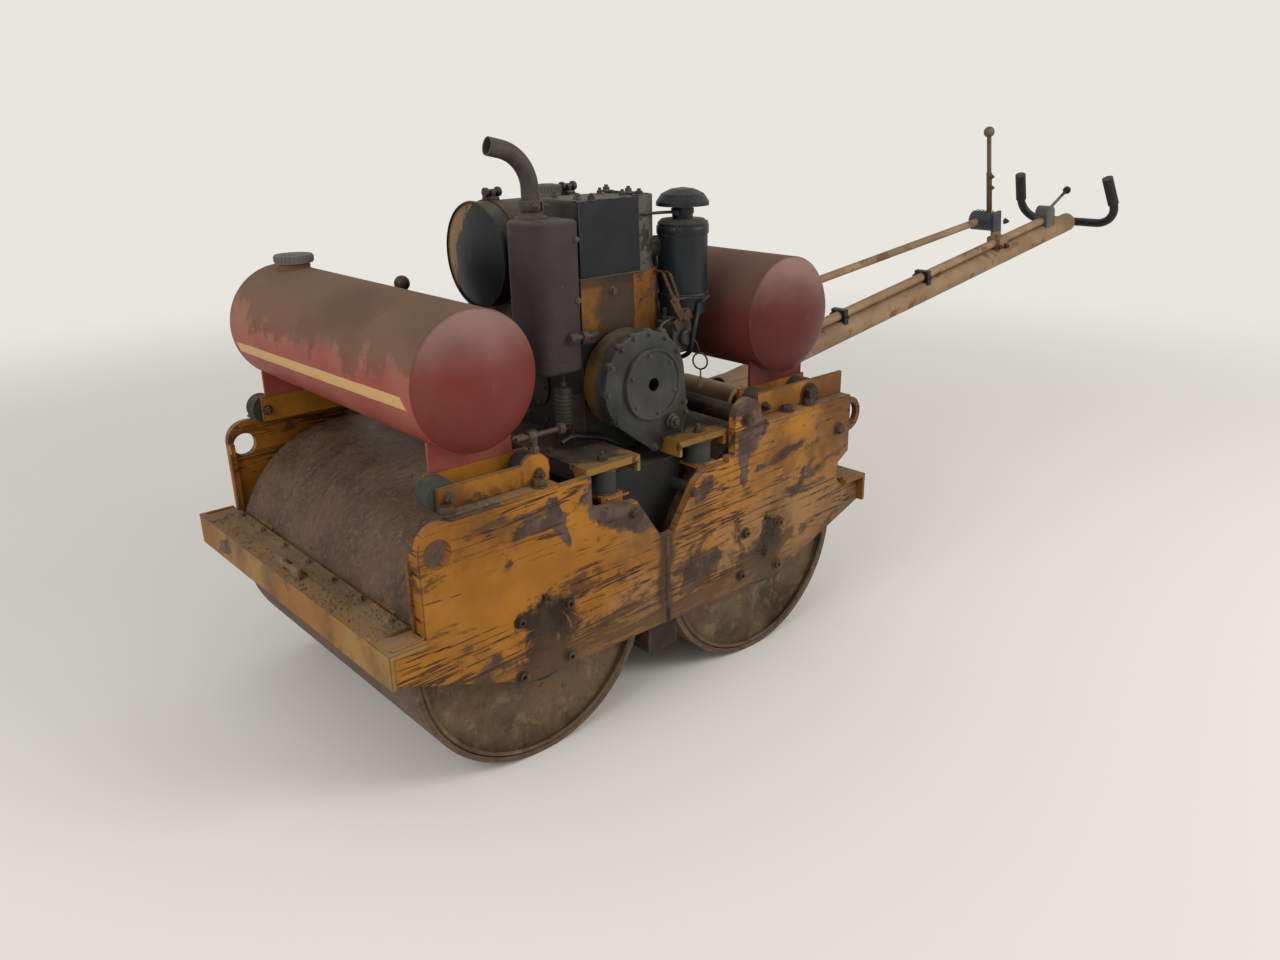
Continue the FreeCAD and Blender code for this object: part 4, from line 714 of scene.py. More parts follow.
def weld(target, start, end, radius=0.004, pace=0.005, seed=1):
    """A weld bead between two places: a thin pipe with a ripple."""
    dice = random.Random(seed)
    start = Vector(start)
    end = Vector(end)
    count = max(3, round((end - start).length / pace))
    points = []
    for number in range(count + 1):
        jog = Vector([dice.uniform(-0.12, 0.12) * radius for axis in range(3)])
        points.append(start.lerp(end, number / count) + jog)
    pipe(target, points, radius, swell=(1.0, 0.72, 0.95, 0.7, 1.06, 0.78), order=2, sides=1)


def finished(shape, name, body, finish, smooth=38):
    """The piece that a shape becomes. It rides on a body and belongs to a material slot."""
    data = bpy.data.meshes.new(name)
    shape.to_mesh(data)
    shape.free()
    data.polygons.foreach_set("use_smooth", [True] * len(data.polygons))
    data.set_sharp_from_angle(angle=math.radians(smooth))
    data.materials.append(finish)
    piece = bpy.data.objects.new(name, data)
    scene.collection.objects.link(piece)
    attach(piece, body)
    print(name, "faces:", len(data.polygons))
    return piece


def hexagon(across, tall):
    """A bolt head or nut of that width across its flats, chamfered at the top."""
    radius = across / 2 / math.cos(math.radians(30))
    return turned([(0, 0), (radius, 0), (radius, tall * 0.8), (radius * 0.86, tall), (0, tall)], 6)


def washer(radius, tall):
    return turned([(0, 0), (radius, 0), (radius, tall * 0.7), (radius - tall * 0.3, tall), (0, tall)], 20)


def bolt(across, stud=0.0):
    """Washer, hexagon head and, if it is a nut, the end of its stud."""
    shape = washer(across * 0.72, across * 0.12)
    put(shape, hexagon(across, across * 0.55), (0, 0, across * 0.12))
    if stud:
        put(shape, turned([(0, 0), (across * 0.3, 0), (across * 0.3, stud * 0.8),
                           (across * 0.24, stud), (0, stud)], 12), (0, 0, across * 0.66))
    return shape


def socket_screw(radius):
    """A screw with a round head and a hexagon hole, on a wide washer."""
    shape = washer(radius * 1.6, radius * 0.25)
    put(shape, turned([(0, radius * 0.3), (radius * 0.5, radius * 0.3), (radius * 0.5, radius * 0.9),
                       (radius * 0.85, radius * 0.9), (radius, radius * 0.75), (radius, 0), (0, 0)], 18),
        (0, 0, radius * 0.25))
    return shape


def local(x, y, z):
    """A place given in millimetres, x counted from the middle between the drums."""
    return Vector((MIDDLE + x / 1000, y / 1000, z / 1000))

# %% [markdown]
# Each side plate carries the bolts of its drum bearing, a grease nipple, and the bolts that hold the
# tank cradle and the drawbar's pivot. Both sides are alike, so each place is used twice.

# %% Bolts on the side plates
outward = (0, 1, 0)
sides = ((1, (0, 1, 0)), (-1, (0, -1, 0)))
face = PLATE_FACE * 1000
hub_screw = socket_screw(0.0095)
wide_bolt = bolt(0.024)
small_bolt = bolt(0.017)
nipple = turned([(0, 0), (0.007, 0), (0.007, 0.006), (0.0035, 0.0075), (0.003, 0.012), (0.0045, 0.014),
                 (0.0045, 0.017), (0.002, 0.019), (0, 0.019)], 12)
hub_places = ((414, 367), (290, 367), (292, 242), (418, 242),
              (-381, 361), (-259, 365), (-378, 245), (-243, 256))
bolts = bmesh.new()
for side, out in sides:
    for number, (x, z) in enumerate(hub_places):
        put(bolts, hub_screw, local(x, side * face, z), out, number * 0.7)
    for x, z in ((-258, 655), (-607, 558)):
        put(bolts, wide_bolt, local(x, side * face, z), out, x * 0.01)
    for x, z in ((103, 520), (-80, 520), (-335, 290)):
        put(bolts, small_bolt, local(x, side * face, z), out, x * 0.02)
    for x, z in ((346, 401), (-335, 386)):
        put(bolts, nipple, local(x, side * face, z), out)
finished(bolts, "plate_bolts", "frame", worn_steel)

# %% [markdown]
# The gear cover is a pear-shaped casting. Its front is a thick flange with a bolt every few centimetres, and
# each bolt has a small lug. The flange's outline is the hull of two circles, so two rings of points are
# laid out and the hull operator stretches the plate round them.

# %% Flange and bolts of the gear cover
COVER_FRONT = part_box("gear_cover")[1].y * 1000 - 8
main_ring = (-14, 774, 118)
lobe_ring = (-62, 688, 78)
flange = bmesh.new()
for x, z, radius in (main_ring, lobe_ring):
    bmesh.ops.create_circle(flange, segments=72, radius=radius / 1000,
                            matrix=Matrix.Translation(local(x, COVER_FRONT - 15, z))
                            @ Matrix.Rotation(math.radians(90), 4, "X"))
hull = bmesh.ops.convex_hull(flange, input=flange.verts)
inner = set(hull["geom_interior"]) | set(hull["geom_unused"])
bmesh.ops.delete(flange, geom=[part for part in inner if isinstance(part, bmesh.types.BMVert)],
                 context="VERTS")
bmesh.ops.dissolve_limit(flange, angle_limit=0.01, verts=flange.verts, edges=flange.edges)
bmesh.ops.delete(flange, geom=flange.faces[:], context="FACES_ONLY")
bmesh.ops.create_circle(flange, segments=40, radius=0.016,
                        matrix=Matrix.Translation(local(-30, COVER_FRONT - 15, 770))
                        @ Matrix.Rotation(math.radians(90), 4, "X"))
bmesh.ops.triangle_fill(flange, edges=flange.edges[:], use_beauty=True)
raised = bmesh.ops.extrude_face_region(flange, geom=flange.faces[:])
bmesh.ops.translate(flange, vec=(0, 0.016, 0),
                    verts=[part for part in raised["geom"] if isinstance(part, bmesh.types.BMVert)])
bmesh.ops.recalc_face_normals(flange, faces=flange.faces)
rims = [edge for edge in flange.edges if len(edge.link_faces) == 2 and edge.calc_face_angle() > 1.2]
bmesh.ops.bevel(flange, geom=rims, offset=0.002, segments=2, profile=0.5, affect="EDGES", material=-1)

cover_bolt = bolt(0.010)
lug = turned([(0, 0), (0.011, 0), (0.011, 0.012), (0.0095, 0.0145), (0, 0.0145)], 16)
cover_bolts = bmesh.new()
for ring, turns in ((main_ring, (-40, -3, 28, 52, 73, 96, 122, 148)),
                    (lobe_ring, (-70, -105, -140, -178, 162))):
    x, z, radius = ring
    for turn_degrees in turns:
        angle = math.radians(turn_degrees)
        spot = local(x + (radius - 6) * math.cos(angle), 0, z + (radius - 6) * math.sin(angle))
        put(flange, lug, spot + Vector((0, (COVER_FRONT - 13) / 1000, 0)), outward)
        put(cover_bolts, cover_bolt, spot + Vector((0, (COVER_FRONT + 1.5) / 1000, 0)), outward, angle)
finished(flange, "gear_cover_flange", "frame", engine_iron)

# %% [markdown]
# On the flange sits a round cover with a raised rim, small screws, and the boss of the starting crank. A
# filler plug sits below it.

# %% Fittings of the gear cover
disc_face = COVER_FRONT + 8
disc_place = local(-30, disc_face, 770)
fittings = bmesh.new()
put(fittings, turned([(0.0745, 0), (0.0815, 0), (0.0815, 0.002), (0.080, 0.0035), (0.076, 0.0035),
                      (0.0745, 0.002), (0.0745, 0)], 72), disc_place, outward)
for number in range(6):
    angle = math.radians(20 + number * 60)
    put(cover_bolts, bolt(0.008), disc_place + Vector((0.067 * math.cos(angle), 0,
                                                       0.067 * math.sin(angle))), outward, angle)
put(fittings, turned([(0, 0), (0.019, 0), (0.019, 0.006), (0.0155, 0.009), (0.0155, 0.016),
                      (0.013, 0.018), (0, 0.018)], 28), local(-89, COVER_FRONT, 671), outward)
put(fittings, hexagon(0.014, 0.007), local(-89, COVER_FRONT + 17, 671), outward, 0.3)
finished(fittings, "gear_cover_fittings", "frame", engine_iron)

# %% [markdown]
# The injection pump stands on the rear shoulder of the gear cover: a small block with two plungers, a
# rusty lever with two springs, and a thin steel pipe that goes up to the head. Wires and pipes leave it
# towards the air filter, and a pull ring hangs from one of them.

# %% Injection pump and its pipes
pump = bmesh.new()
put(pump, plate(0.060, 0.066, 0.072, 0.004), local(-166, 316, 812))
put(pump, plate(0.040, 0.040, 0.012, 0.003), local(-168, 330, 883))
plunger = turned([(0, 0), (0.010, 0), (0.010, 0.010), (0.007, 0.012), (0.007, 0.022), (0.009, 0.024),
                  (0.009, 0.030), (0.005, 0.034), (0, 0.034)], 6)
put(pump, plunger, local(-160, 300, 880))
put(pump, turned([(0, 0), (0.019, 0), (0.019, 0.010), (0.015, 0.014), (0, 0.014)], 20),
    local(-172, 349, 848), outward)
put(pump, turned([(0, 0), (0.012, 0), (0.012, 0.016), (0.008, 0.020), (0, 0.020)], 18),
    local(-92, 352, 862), (-0.2, 0.2, 1))
put(cover_bolts, bolt(0.011), local(-188, 349, 826), outward)
put(cover_bolts, bolt(0.011), local(-150, 349, 872), outward, 0.4)
for shift in (0, 9):
    pipe(pump, [local(-160, 300 - shift, 906), local(-158, 300 - shift, 925), local(-163, 286 - shift, 950),
                local(-165, 262 - shift, 1000), local(-163, 246 - shift, 1090 + shift),
                local(-156, 236 - shift, 1108 + shift)], 0.003)
pipe(pump, [local(-92, 353, 878), local(-98, 352, 892), local(-128, 350, 896), local(-160, 342, 892),
            local(-168, 330, 890)], 0.003)
finished(pump, "fuel_pump", "frame", engine_alloy)

lever = bmesh.new()
arm = plate(0.060, 0.020, 0.005, 0.002)
put(lever, arm, local(-137, 362, 921), outward, math.radians(-58))
put(lever, plate(0.056, 0.026, 0.005, 0.002), local(-158, 357, 892), outward, math.radians(28))
put(lever, plate(0.030, 0.020, 0.030, 0.002), local(-168, 344, 886))
put(lever, bolt(0.013, 0.005), local(-124, 366, 942), outward)
put(lever, bolt(0.013, 0.005), local(-160, 361, 893), outward)
for start, end in (((-120, 368, 946), (-96, 362, 1003)), ((-139, 366, 940), (-116, 362, 1001))):
    weld(lever, local(*start), local(*end), 0.004, 0.0035, seed=3)
pipe(lever, [local(-96, 362, 1003), local(-100, 350, 1008), local(-118, 320, 1004), local(-132, 290, 998)],
     0.0025)
pipe(lever, [local(-116, 362, 1001), local(-122, 345, 1005), local(-134, 318, 1000), local(-142, 276, 992)],
     0.0025)
finished(lever, "governor_lever", "frame", rusty_steel)

# %% [markdown]
# The air filter is a black can with a rain cap. A clamp with a wing nut goes round it, clips hold the
# cap, and a thin stay joins its neck to the head.

# %% Fittings of the air filter
filter_low, filter_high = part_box("air_filter")
FILTER_X = ((filter_low.x + filter_high.x) / 2 - MIDDLE) * 1000
FILTER_Y = (filter_low.y + filter_high.y) / 2 * 1000
filter_bits = bmesh.new()
for height in (935, 1086):
    put(filter_bits, turned([(0.0575, -0.009), (0.0598, -0.009), (0.0606, -0.007), (0.0606, 0.007),
                             (0.0598, 0.009), (0.0575, 0.009), (0.0575, -0.009)], 64),
        local(FILTER_X, FILTER_Y, height))
put(filter_bits, turned([(0.0235, 0.0), (0.0265, 0.001), (0.0265, 0.012), (0.0235, 0.013), (0.0235, 0.0)],
                        40), local(FILTER_X, FILTER_Y, 1121))
wing = plate(0.024, 0.004, 0.010, 0.0015)
put(filter_bits, hexagon(0.012, 0.010), local(FILTER_X, FILTER_Y + 60, 935), outward)
put(filter_bits, wing, local(FILTER_X, FILTER_Y + 69, 935), outward, 0.5)
put(filter_bits, hexagon(0.013, 0.014), local(FILTER_X + 26, FILTER_Y + 16, 1127), (1, 0.4, 0))
pipe(filter_bits, [local(FILTER_X + 24, FILTER_Y + 15, 1127), local(-150, 304, 1130),
                   local(-96, 293, 1128)], 0.0035)
for turn_degrees in (35, 155, 275):
    angle = math.radians(turn_degrees)
    out = Vector((math.cos(angle), math.sin(angle), 0))
    base = local(FILTER_X, FILTER_Y, 1078) + out * 0.0595
    pipe(filter_bits, [base, base + out * 0.006 + Vector((0, 0, 0.012)),
                       base + Vector((0, 0, 0.026)) - out * 0.001], 0.0022)
finished(filter_bits, "air_filter_fittings", "frame", black_sheet)

pipes = bmesh.new()
pipe(pipes, [local(-126, 370, 942), local(-150, 376, 947), local(-185, 372, 936),
             local(FILTER_X, FILTER_Y + 62, 935)], 0.003)
pipe(pipes, [local(FILTER_X + 6, FILTER_Y + 60, 925), local(-200, 364, 900), local(-184, 372, 876),
             local(-178, 368, 836), local(-186, 352, 806), local(-170, 320, 792), local(-148, 290, 790)],
     0.0055)
pipe(pipes, [local(-178, 371, 846), local(-186, 380, 838), local(-190, 380, 812)], 0.0022)
finished(pipes, "breather_pipes", "frame", black_sheet)

ring = bmesh.new()
put(ring, turned([(0.019 + 0.0022 * math.cos(step * math.pi / 4), 0.0022 * math.sin(step * math.pi / 4))
                  for step in range(9)], 40), local(-192, 381, 793), (1, 0.3, 0))
pipe(ring, [local(-192, 381, 775), local(-194, 382, 764), local(-192, 381, 752)], 0.0018)
put(ring, plate(0.020, 0.004, 0.024, 0.0015), local(-192, 381, 730), spin=0.4)
finished(ring, "pull_ring", "frame", worn_steel)

# %% [markdown]
# The head is held down by bolts on top of its shroud, and the muffler hangs on a clamp and a strap. The
# silver clamp round the pipe is what the eye finds first, so it has its own lugs and bolt.

# %% Fittings of the head and the exhaust
HEAD_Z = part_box("cylinder_head")[1].z * 1000
head_bits = bmesh.new()
tab = plate(0.030, 0.026, 0.005, 0.0015)
for x, y, turn_degrees in ((72, 282, 0), (36, 282, 10), (-112, 268, -30), (-148, 190, 90), (-148, 110, 90)):
    put(head_bits, tab, local(x, y - 2, HEAD_Z - 4), spin=math.radians(turn_degrees))
    put(head_bits, bolt(0.015, 0.005), local(x, y - 2, HEAD_Z - 1.5), spin=turn_degrees)
rocker_low, rocker_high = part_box("rocker_cover")
for x in (rocker_low.x + 0.03, rocker_high.x - 0.03):
    for y in (rocker_low.y + 0.035, rocker_high.y - 0.035):
        put(head_bits, bolt(0.013, 0.006), (x, y, rocker_high.z - 0.0005), spin=x * 9)
put(head_bits, bolt(0.014), local(0, 300, 971), outward)
finished(head_bits, "head_bolts", "frame", engine_iron)

muffler_low, muffler_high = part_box("muffler")
exhaust_bits = bmesh.new()
pipe_foot = local(157, 225, muffler_high.z * 1000)
put(exhaust_bits, turned([(0.0215, 0), (0.034, 0), (0.034, 0.004), (0.0275, 0.006), (0.0265, 0.012),
                          (0.0215, 0.014)], 40), pipe_foot)
put(exhaust_bits, turned([(0.0205, 0.0), (0.0255, 0.0), (0.0262, 0.002), (0.0262, 0.018),
                          (0.0255, 0.020), (0.0205, 0.020)], 40), pipe_foot + Vector((0, 0, 0.018)))
clamp_ear = plate(0.016, 0.005, 0.020, 0.0012)
for shift in (-0.0045, 0.0045):
    put(exhaust_bits, clamp_ear, pipe_foot + Vector((shift, 0.031, 0.018)), spin=math.radians(90))
put(exhaust_bits, bolt(0.010, 0.004), pipe_foot + Vector((0.007, 0.032, 0.028)), (1, 0, 0))
put(exhaust_bits, bolt(0.010, 0.010), pipe_foot + Vector((-0.007, 0.032, 0.028)), (-1, 0, 0))
put(exhaust_bits, bolt(0.009), local(121, muffler_high.y * 1000, 969), outward)
put(exhaust_bits, bolt(0.009), local(121, muffler_high.y * 1000, 1096), outward)
pipe(exhaust_bits, [local(52, 302, 884), local(92, 336, 890), local(112, 338, 892), local(142, 338, 893)],
     0.006)
for x in (108, 132):
    put(exhaust_bits, hexagon(0.020, 0.012), local(x, 338, 892.5), (1, 0, 0), x)
put(exhaust_bits, turned([(0, 0), (0.009, 0), (0.011, 0.006), (0.009, 0.012), (0, 0.012)], 16),
    local(141, 338, 893), (1, 0, 0))
finished(exhaust_bits, "exhaust_fittings", "frame", exhaust_grey)

# %% [markdown]
# A ribbed canister stands beside the crankcase, at the foot of the muffler: the oil filter. Its ribs are
# turned in one outline.

# %% Oil filter and lower pipes
outline = [(0, 0), (0.019, 0)]
for number in range(8):
    height = 0.004 + number * 0.009
    outline += [(0.022, height), (0.022, height + 0.005), (0.0195, height + 0.006),
                (0.0195, height + 0.009)]
outline += [(0.021, 0.078), (0.016, 0.086), (0.007, 0.088), (0.007, 0.098), (0, 0.098)]
oil_filter = bmesh.new()
put(oil_filter, turned(outline, 32), local(134, 282, 688))
put(oil_filter, plate(0.060, 0.030, 0.010, 0.002), local(118, 282, 678))
put(oil_filter, bolt(0.014), local(100, 270, 688))
finished(oil_filter, "oil_filter", "frame", engine_alloy)
case_bits = bmesh.new()
for x, z in ((93, 838), (93, 668)):
    for y in (20, 90, 160, 230):
        put(case_bits, cover_bolt, local(x - 1, y, z), (1, 0, 0), y)
put(case_bits, turned([(0, 0), (0.055, 0), (0.055, 0.006), (0.050, 0.009), (0, 0.009)], 40),
    local(92, 120, 745), (1, 0, 0))
for number in range(6):
    angle = number * math.tau / 6
    put(case_bits, cover_bolt, local(99, 120 + 45 * math.cos(angle), 745 + 45 * math.sin(angle)),
        (1, 0, 0), angle)
pipe(case_bits, [local(134, 282, 786), local(134, 282, 800), local(120, 270, 808), local(90, 262, 806)],
     0.005)
finished(case_bits, "crankcase_fittings", "frame", engine_iron)
finished(cover_bolts, "gear_cover_bolts", "frame", engine_alloy)
drain = bmesh.new()
pipe(drain, [local(176, 322, 662), local(150, 318, 672), local(110, 322, 662), local(62, 320, 650),
             local(40, 326, 640), local(14, 330, 624), local(8, 310, 604), local(20, 250, 602)], 0.0055)
finished(drain, "drain_pipe", "frame", black_sheet)

# %% [markdown]
# The fuel tank's ends are pressed in, which leaves a rolled rim. The straps are drawn tight by a bolt with
# a cross bar, and the cap has grip ribs.

# %% Fittings of the fuel tank
fuel_low, fuel_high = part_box("fuel_tank")
strap_low, strap_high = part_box("fuel_straps")
FUEL_Y = -46.0
FUEL_Z = (fuel_high.z + fuel_low.z) / 2 * 1000
fuel_radius = (fuel_high.y - fuel_low.y) / 2
rims = bmesh.new()
rim = turned([(fuel_radius - 0.002, -0.005), (fuel_radius + 0.0015, -0.004), (fuel_radius + 0.003, 0),
              (fuel_radius + 0.0015, 0.004), (fuel_radius - 0.002, 0.005)], 96)
for x in (fuel_low.x + 0.020, fuel_high.x - 0.020):
    put(rims, rim, (x, FUEL_Y / 1000, 1.030), (1, 0, 0))
finished(rims, "fuel_tank_rims", "frame", black_sheet)
tighteners = bmesh.new()
for x in (-148, 76):
    put(tighteners, plate(0.024, 0.040, 0.008, 0.002), local(x, FUEL_Y, 1153))
    put(tighteners, turned([(0, 0), (0.010, 0), (0.0115, 0.003), (0.0115, 0.010), (0.007, 0.012),
                            (0.007, 0.034), (0.011, 0.036), (0.011, 0.044), (0, 0.044)], 18),
        local(x - 26, FUEL_Y, 1171), (1, 0, 0))
    put(tighteners, plate(0.010, 0.030, 0.016, 0.002), local(x, FUEL_Y, 1160))
finished(tighteners, "fuel_strap_bolts", "frame", engine_iron)

# %% [markdown]
# Grip ribs on the three caps are short bars set round the edge.

# %% Cap ribs
cap_ribs = bmesh.new()
rib = turned([(0, 0), (0.0022, 0.001), (0.0022, 0.012), (0, 0.013)], 8)
for name in ("fuel_cap", "water_caps"):
    low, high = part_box(name)
    if name == "fuel_cap":
        centres = [((low.x + high.x) / 2, (low.y + high.y) / 2, high.x - low.x)]
    else:
        across_cap = high.y - low.y
        centres = [(low.x + across_cap / 2, (low.y + high.y) / 2, across_cap),
                   (high.x - across_cap / 2, (low.y + high.y) / 2, across_cap)]
    for x, y, across_cap in centres:
        for number in range(28):
            angle = number * math.tau / 28
            place = (x + across_cap / 2 * math.cos(angle), y + across_cap / 2 * math.sin(angle),
                     high.z - 0.0155)
            put(cap_ribs, rib, place)
        put(cap_ribs, turned([(0, 0), (across_cap * 0.3, 0), (across_cap * 0.28, 0.0025), (0, 0.003)], 32),
            (x, y, high.z - 0.0005))
finished(cap_ribs, "cap_ribs", "frame", cap_grey)

# %% [markdown]
# The plates are welded to each other, to the bumpers and to the cradle angles. A bead lies in each of
# these corners, on both sides of the machine.

# %% Weld beads of the frame
welds = bmesh.new()
seed = 10
for side, out in sides:
    y = side * (face + 0.5)
    runs = [((300, y, 633), (556, y, 633), 0.0035),
            ((-650, y, 633), (-332, y, 633), 0.0035),
            ((634, y, 411), (704, y, 411), 0.0045),
            ((-634, y, 411), (-704, y, 411), 0.0045),
            ((115, y, 571), (175, y, 571), 0.0035),
            ((-115, y, 578), (-175, y, 578), 0.0035),
            ((634, side * 436, 412), (634, side * 436, 560), 0.0040)]
    for start, end, radius in runs:
        seed += 1
        weld(welds, local(*start), local(*end), radius, 0.0055, seed)
for x in (-622, 622):
    for y in (-300, 300):
        seed += 1
        weld(welds, local(x, y - 40, 411), local(x, y + 40, 411), 0.004, 0.006, seed)
finished(welds, "frame_welds", "frame", bracket_paint)
seam = bmesh.new()
for side, out in sides:
    for x in (-1.5, 2.5):
        weld(seam, local(x, side * face, 222), local(x, side * face, 434), 0.0035, 0.0055, seed + x)
finished(seam, "seam_welds", "frame", beam_steel)

# %% [markdown]
# Each rubber buffer is held by one long bolt that goes from the angle on the plate to the bar under the
# tank. The rear one has a big square head. Smaller bolts hold the feet of the angles.

# %% Bolts of the tank cradles
cradle_bolts = bmesh.new()
square_head = washer(0.030, 0.004)
put(square_head, plate(0.034, 0.034, 0.018, 0.003), (0, 0, 0.004))
big_bolt = bolt(0.018, 0.008)
for side, out in sides:
    for x, z in ((536, 664), (326, 660), (-355, 662)):
        put(cradle_bolts, big_bolt, local(x, side * 440, z), out, x * 0.01)
    put(cradle_bolts, square_head, local(-519, side * 440, 662), out, 0.12)
    for x in (553, 338, -500, -420):
        put(cradle_bolts, wide_bolt, local(x, side * 457, 640), spin=x * 0.01)
    for x in (545, 334, -518, -353):
        put(cradle_bolts, big_bolt, local(x, side * 384, 668), (0, -side, 0), x * 0.02)
finished(cradle_bolts, "cradle_bolts", "frame", worn_steel)

# %% [markdown]
# The four engine mounts are rubber blocks between steel washers. A bolt goes down through the rail.

# %% Engine mount hardware
mount_bits = bmesh.new()
mount_washer = turned([(0, 0), (0.033, 0), (0.033, 0.003), (0.032, 0.004), (0, 0.004)], 36)
for x in (-145, 145):
    for side, out in sides:
        spot = local(x, side * 422, 0)
        put(mount_bits, mount_washer, spot + Vector((0, 0, 0.570)))
        put(mount_bits, mount_washer, spot + Vector((0, 0, 0.621)))
        put(mount_bits, big_bolt, spot + Vector((0, 0, 0.640)), spin=x)
        put(mount_bits, bolt(0.022, 0.008), spot + Vector((0, 0, 0.562)), (0, 0, -1), x)
for x in (72, 196, -72, -196):
    for side, out in sides:
        put(mount_bits, small_bolt, local(x, side * 300, 640), spin=x)
finished(mount_bits, "mount_hardware", "frame", worn_steel)

# %% [markdown]
# The scraper strips are bolted on top of both bumpers. A tab for a tow pin stands at mid width of the
# front one.

# %% Bumper hardware
bumper_bits = bmesh.new()
for x in (655, -655):
    for y in (-375, -250, -125, 0, 125, 250, 375):
        put(bumper_bits, small_bolt, local(x, y, 418), spin=y)
tow_tab = plate(0.010, 0.040, 0.026, 0.002)
put(bumper_bits, tow_tab, local(694, 39, 410))
put(bumper_bits, tow_tab, local(694, -39, 410))
put(bumper_bits, turned([(0, 0), (0.006, 0), (0.006, 0.104), (0, 0.104)], 16), local(694, -52, 424),
    outward)
finished(bumper_bits, "bumper_hardware", "frame", dry_mud)

# %% [markdown]
# Dry mud lies on the bumpers and along the foot of the scrapers. It is made of many small crumbs: low
# spheres with every corner moved a little, pressed flat, and half sunk where they lie. The dice are
# seeded, so each run gives the same mud.

# %% Dry mud
def crumb(target, dice, place, size):
    shape = bmesh.new()
    bmesh.ops.create_icosphere(shape, subdivisions=1, radius=size)
    for point in shape.verts:
        point.co *= dice.uniform(0.65, 1.2)
        point.co.z *= 0.5
    put(target, shape, place, spin=dice.uniform(0, math.tau))
    shape.free()


mud_dice = random.Random(7)
mud = bmesh.new()
for x0, x1, z in ((676, 714, 410), (637, 673, 418), (-714, -676, 410), (-673, -637, 418)):
    for number in range(260):
        side_pull = mud_dice.choice((-1, 1)) * (1 - mud_dice.random() ** 1.7)
        x = mud_dice.uniform(x0, x1)
        y = side_pull * 415
        size = mud_dice.uniform(0.0015, 0.0052) * (1.25 if mud_dice.random() < 0.1 else 1.0)
        crumb(mud, mud_dice, local(x, y, z), size)
for side, out in sides:
    for number in range(90):
        x = mud_dice.uniform(300, 550) * mud_dice.choice((1, -1))
        crumb(mud, mud_dice, local(x, side * mud_dice.uniform(441, 470), 640),
              mud_dice.uniform(0.0012, 0.0035))
finished(mud, "dry_mud", "frame", dry_mud, smooth=80)

# %% [markdown]
# The drums turn, so what belongs to them rides on their own bodies: here the weld ring between the shell
# and each end plate.

# %% Drum ends
drum_radius = (front_high.z - front_low.z) / 2
END_FACE = front_high.y - 0.012
ring_outline = [(drum_radius - 0.020 + 0.0045 * math.cos(step * math.pi / 3),
                 0.0045 * math.sin(step * math.pi / 3)) for step in range(7)]
for name, axle, body, finish in (("front", FRONT_AXLE, "front_drum", drum_front_steel),
                                 ("rear", REAR_AXLE, "rear_drum", drum_rear_steel)):
    ends = bmesh.new()
    for side, out in sides:
        put(ends, turned(ring_outline, 120), (axle, side * END_FACE, AXLE_HEIGHT), out)
    finished(ends, name + "_drum_ends", body, finish)

# %% [markdown]
# A small tap with a cross pipe stands on the front left cradle. It is where the water to the drums is
# turned on.

# %% Water tap
tap = bmesh.new()
pipe(tap, [local(330, 436, 703), local(330, 436, 752)], 0.0075, order=2)
pipe(tap, [local(372, 436, 741), local(268, 436, 741)], 0.006, order=2)
put(tap, hexagon(0.021, 0.014), local(330, 436, 741), (1, 0, 0))
put(tap, hexagon(0.019, 0.012), local(330, 436, 706))
put(tap, turned([(0, 0), (0.010, 0), (0.012, 0.003), (0.012, 0.011), (0.009, 0.014), (0, 0.014)], 18),
    local(268, 436, 741), (-1, 0, 0))
put(tap, plate(0.030, 0.008, 0.006, 0.0015), local(368, 436, 744))
finished(tap, "tank_tap", "frame", worn_steel)

# %% [markdown]
# On the right side a belt guard covers the drive, and the fan housing has cooling ribs round it.

# %% Belt guard and fan housing
guard_low, guard_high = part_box("belt_guard")
guard_face = guard_low.y
inward = (0, -1, 0)
guard_bits = bmesh.new()
for number in range(7):
    put(guard_bits, plate(0.104, 0.010, 0.005, 0.002),
        (MIDDLE, guard_face + 0.0005, 0.690 + number * 0.018), inward)
for x, z in ((-90, 600), (90, 600), (-90, 700), (90, 700), (0, 838), (-68, 800), (68, 800)):
    put(guard_bits, bolt(0.013), local(x, guard_face * 1000, z), inward, x)
for start, end in (((-102, 588), (102, 588)), ((-102, 588), (-102, 745)), ((102, 588), (102, 745))):
    pipe(guard_bits, [local(start[0], guard_face * 1000, start[1]), local(end[0], guard_face * 1000, end[1])],
         0.003, order=2)
finished(guard_bits, "belt_guard_fittings", "frame", engine_paint)
fan_low, fan_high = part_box("fan_housing")
fan_bits = bmesh.new()
fan_rib = plate(0.034, 0.005, 0.006, 0.0015)
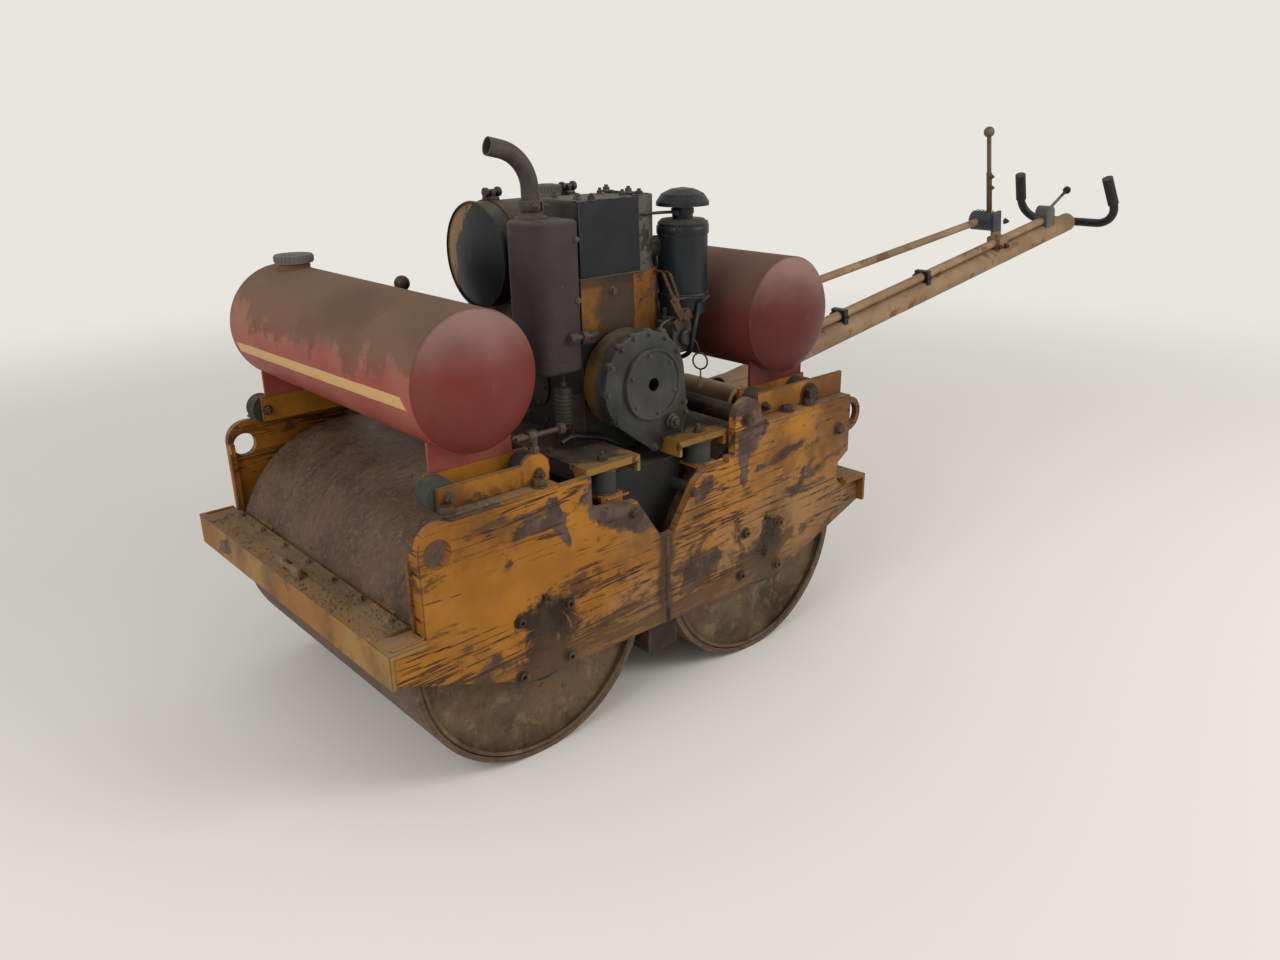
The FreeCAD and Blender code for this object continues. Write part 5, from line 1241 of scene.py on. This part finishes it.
for number in range(44):
    angle = number * math.tau / 44
    place = Vector((MIDDLE + 0.125 * math.cos(angle), fan_low.y + 0.001, 0.745 + 0.125 * math.sin(angle)))
    if place.z > 0.66:
        turn = Matrix.Rotation(-angle, 4, "Y")
        spoke = fan_rib.copy()
        bmesh.ops.rotate(spoke, verts=spoke.verts, matrix=Matrix.Rotation(math.radians(90), 3, "X"))
        bmesh.ops.rotate(spoke, verts=spoke.verts, matrix=turn.to_3x3())
        put(fan_bits, spoke, place)
        spoke.free()
finished(fan_bits, "fan_housing_ribs", "frame", engine_iron)

# %% [markdown]
# The drawbar carries the controls. Its clamps have bolts, and the lever's hub has a rusty upright plate
# with two bolts. All of it rides on the drawbar.

# %% Drawbar fittings
bar_bits = bmesh.new()
clip_low, clip_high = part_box("conduit_clips")
for x, z in ((-1208, 704), (-1665, 776)):
    for side, out in sides:
        put(bar_bits, bolt(0.013, 0.005), local(x, side * 27, z), out, x)
for x in (-672, -690):
    for side, out in sides:
        put(bar_bits, wide_bolt, local(x, side * 36, 562), out, x)
finished(bar_bits, "drawbar_bolts", "drawbar", worn_steel)
hub_low, hub_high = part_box("lever_hub")
lever_low, lever_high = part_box("travel_lever")
hub_bits = bmesh.new()
foot = Vector((lever_low.x + 0.008, (lever_low.y + lever_high.y) / 2, lever_low.z + 0.004))
knob = Vector((lever_high.x - 0.019, foot.y, lever_high.z - 0.019))
rise = (knob - foot).normalized()
put(hub_bits, plate(0.020, 0.008, 0.140, 0.002), foot + rise * 0.004, rise)
put(hub_bits, bolt(0.015, 0.006), foot + rise * 0.128 + Vector((0, 0.004, 0)), outward, 0.3)
put(hub_bits, bolt(0.015, 0.006), foot + rise * 0.088 + Vector((0, 0.004, 0)), outward, 0.9)
finished(hub_bits, "lever_foot", "drawbar", rusty_steel)
hub_nuts = bmesh.new()
hub_x = (hub_low.x + hub_high.x) / 2
for x, z in ((hub_x, hub_high.z - 0.035), (hub_x - 0.022, hub_low.z + 0.018), (hub_x + 0.022, hub_low.z + 0.018)):
    put(hub_nuts, bolt(0.016, 0.006), (x, hub_high.y, z), outward, z)
for step in range(5):
    put(hub_nuts, turned([(0.0335, -0.0012), (0.036, 0), (0.0335, 0.0012), (0.0335, -0.0012)], 40),
        (hub_x, hub_low.y + 0.012 + step * 0.014, hub_high.z - 0.035), outward)
finished(hub_nuts, "hub_fittings", "drawbar", worn_steel)
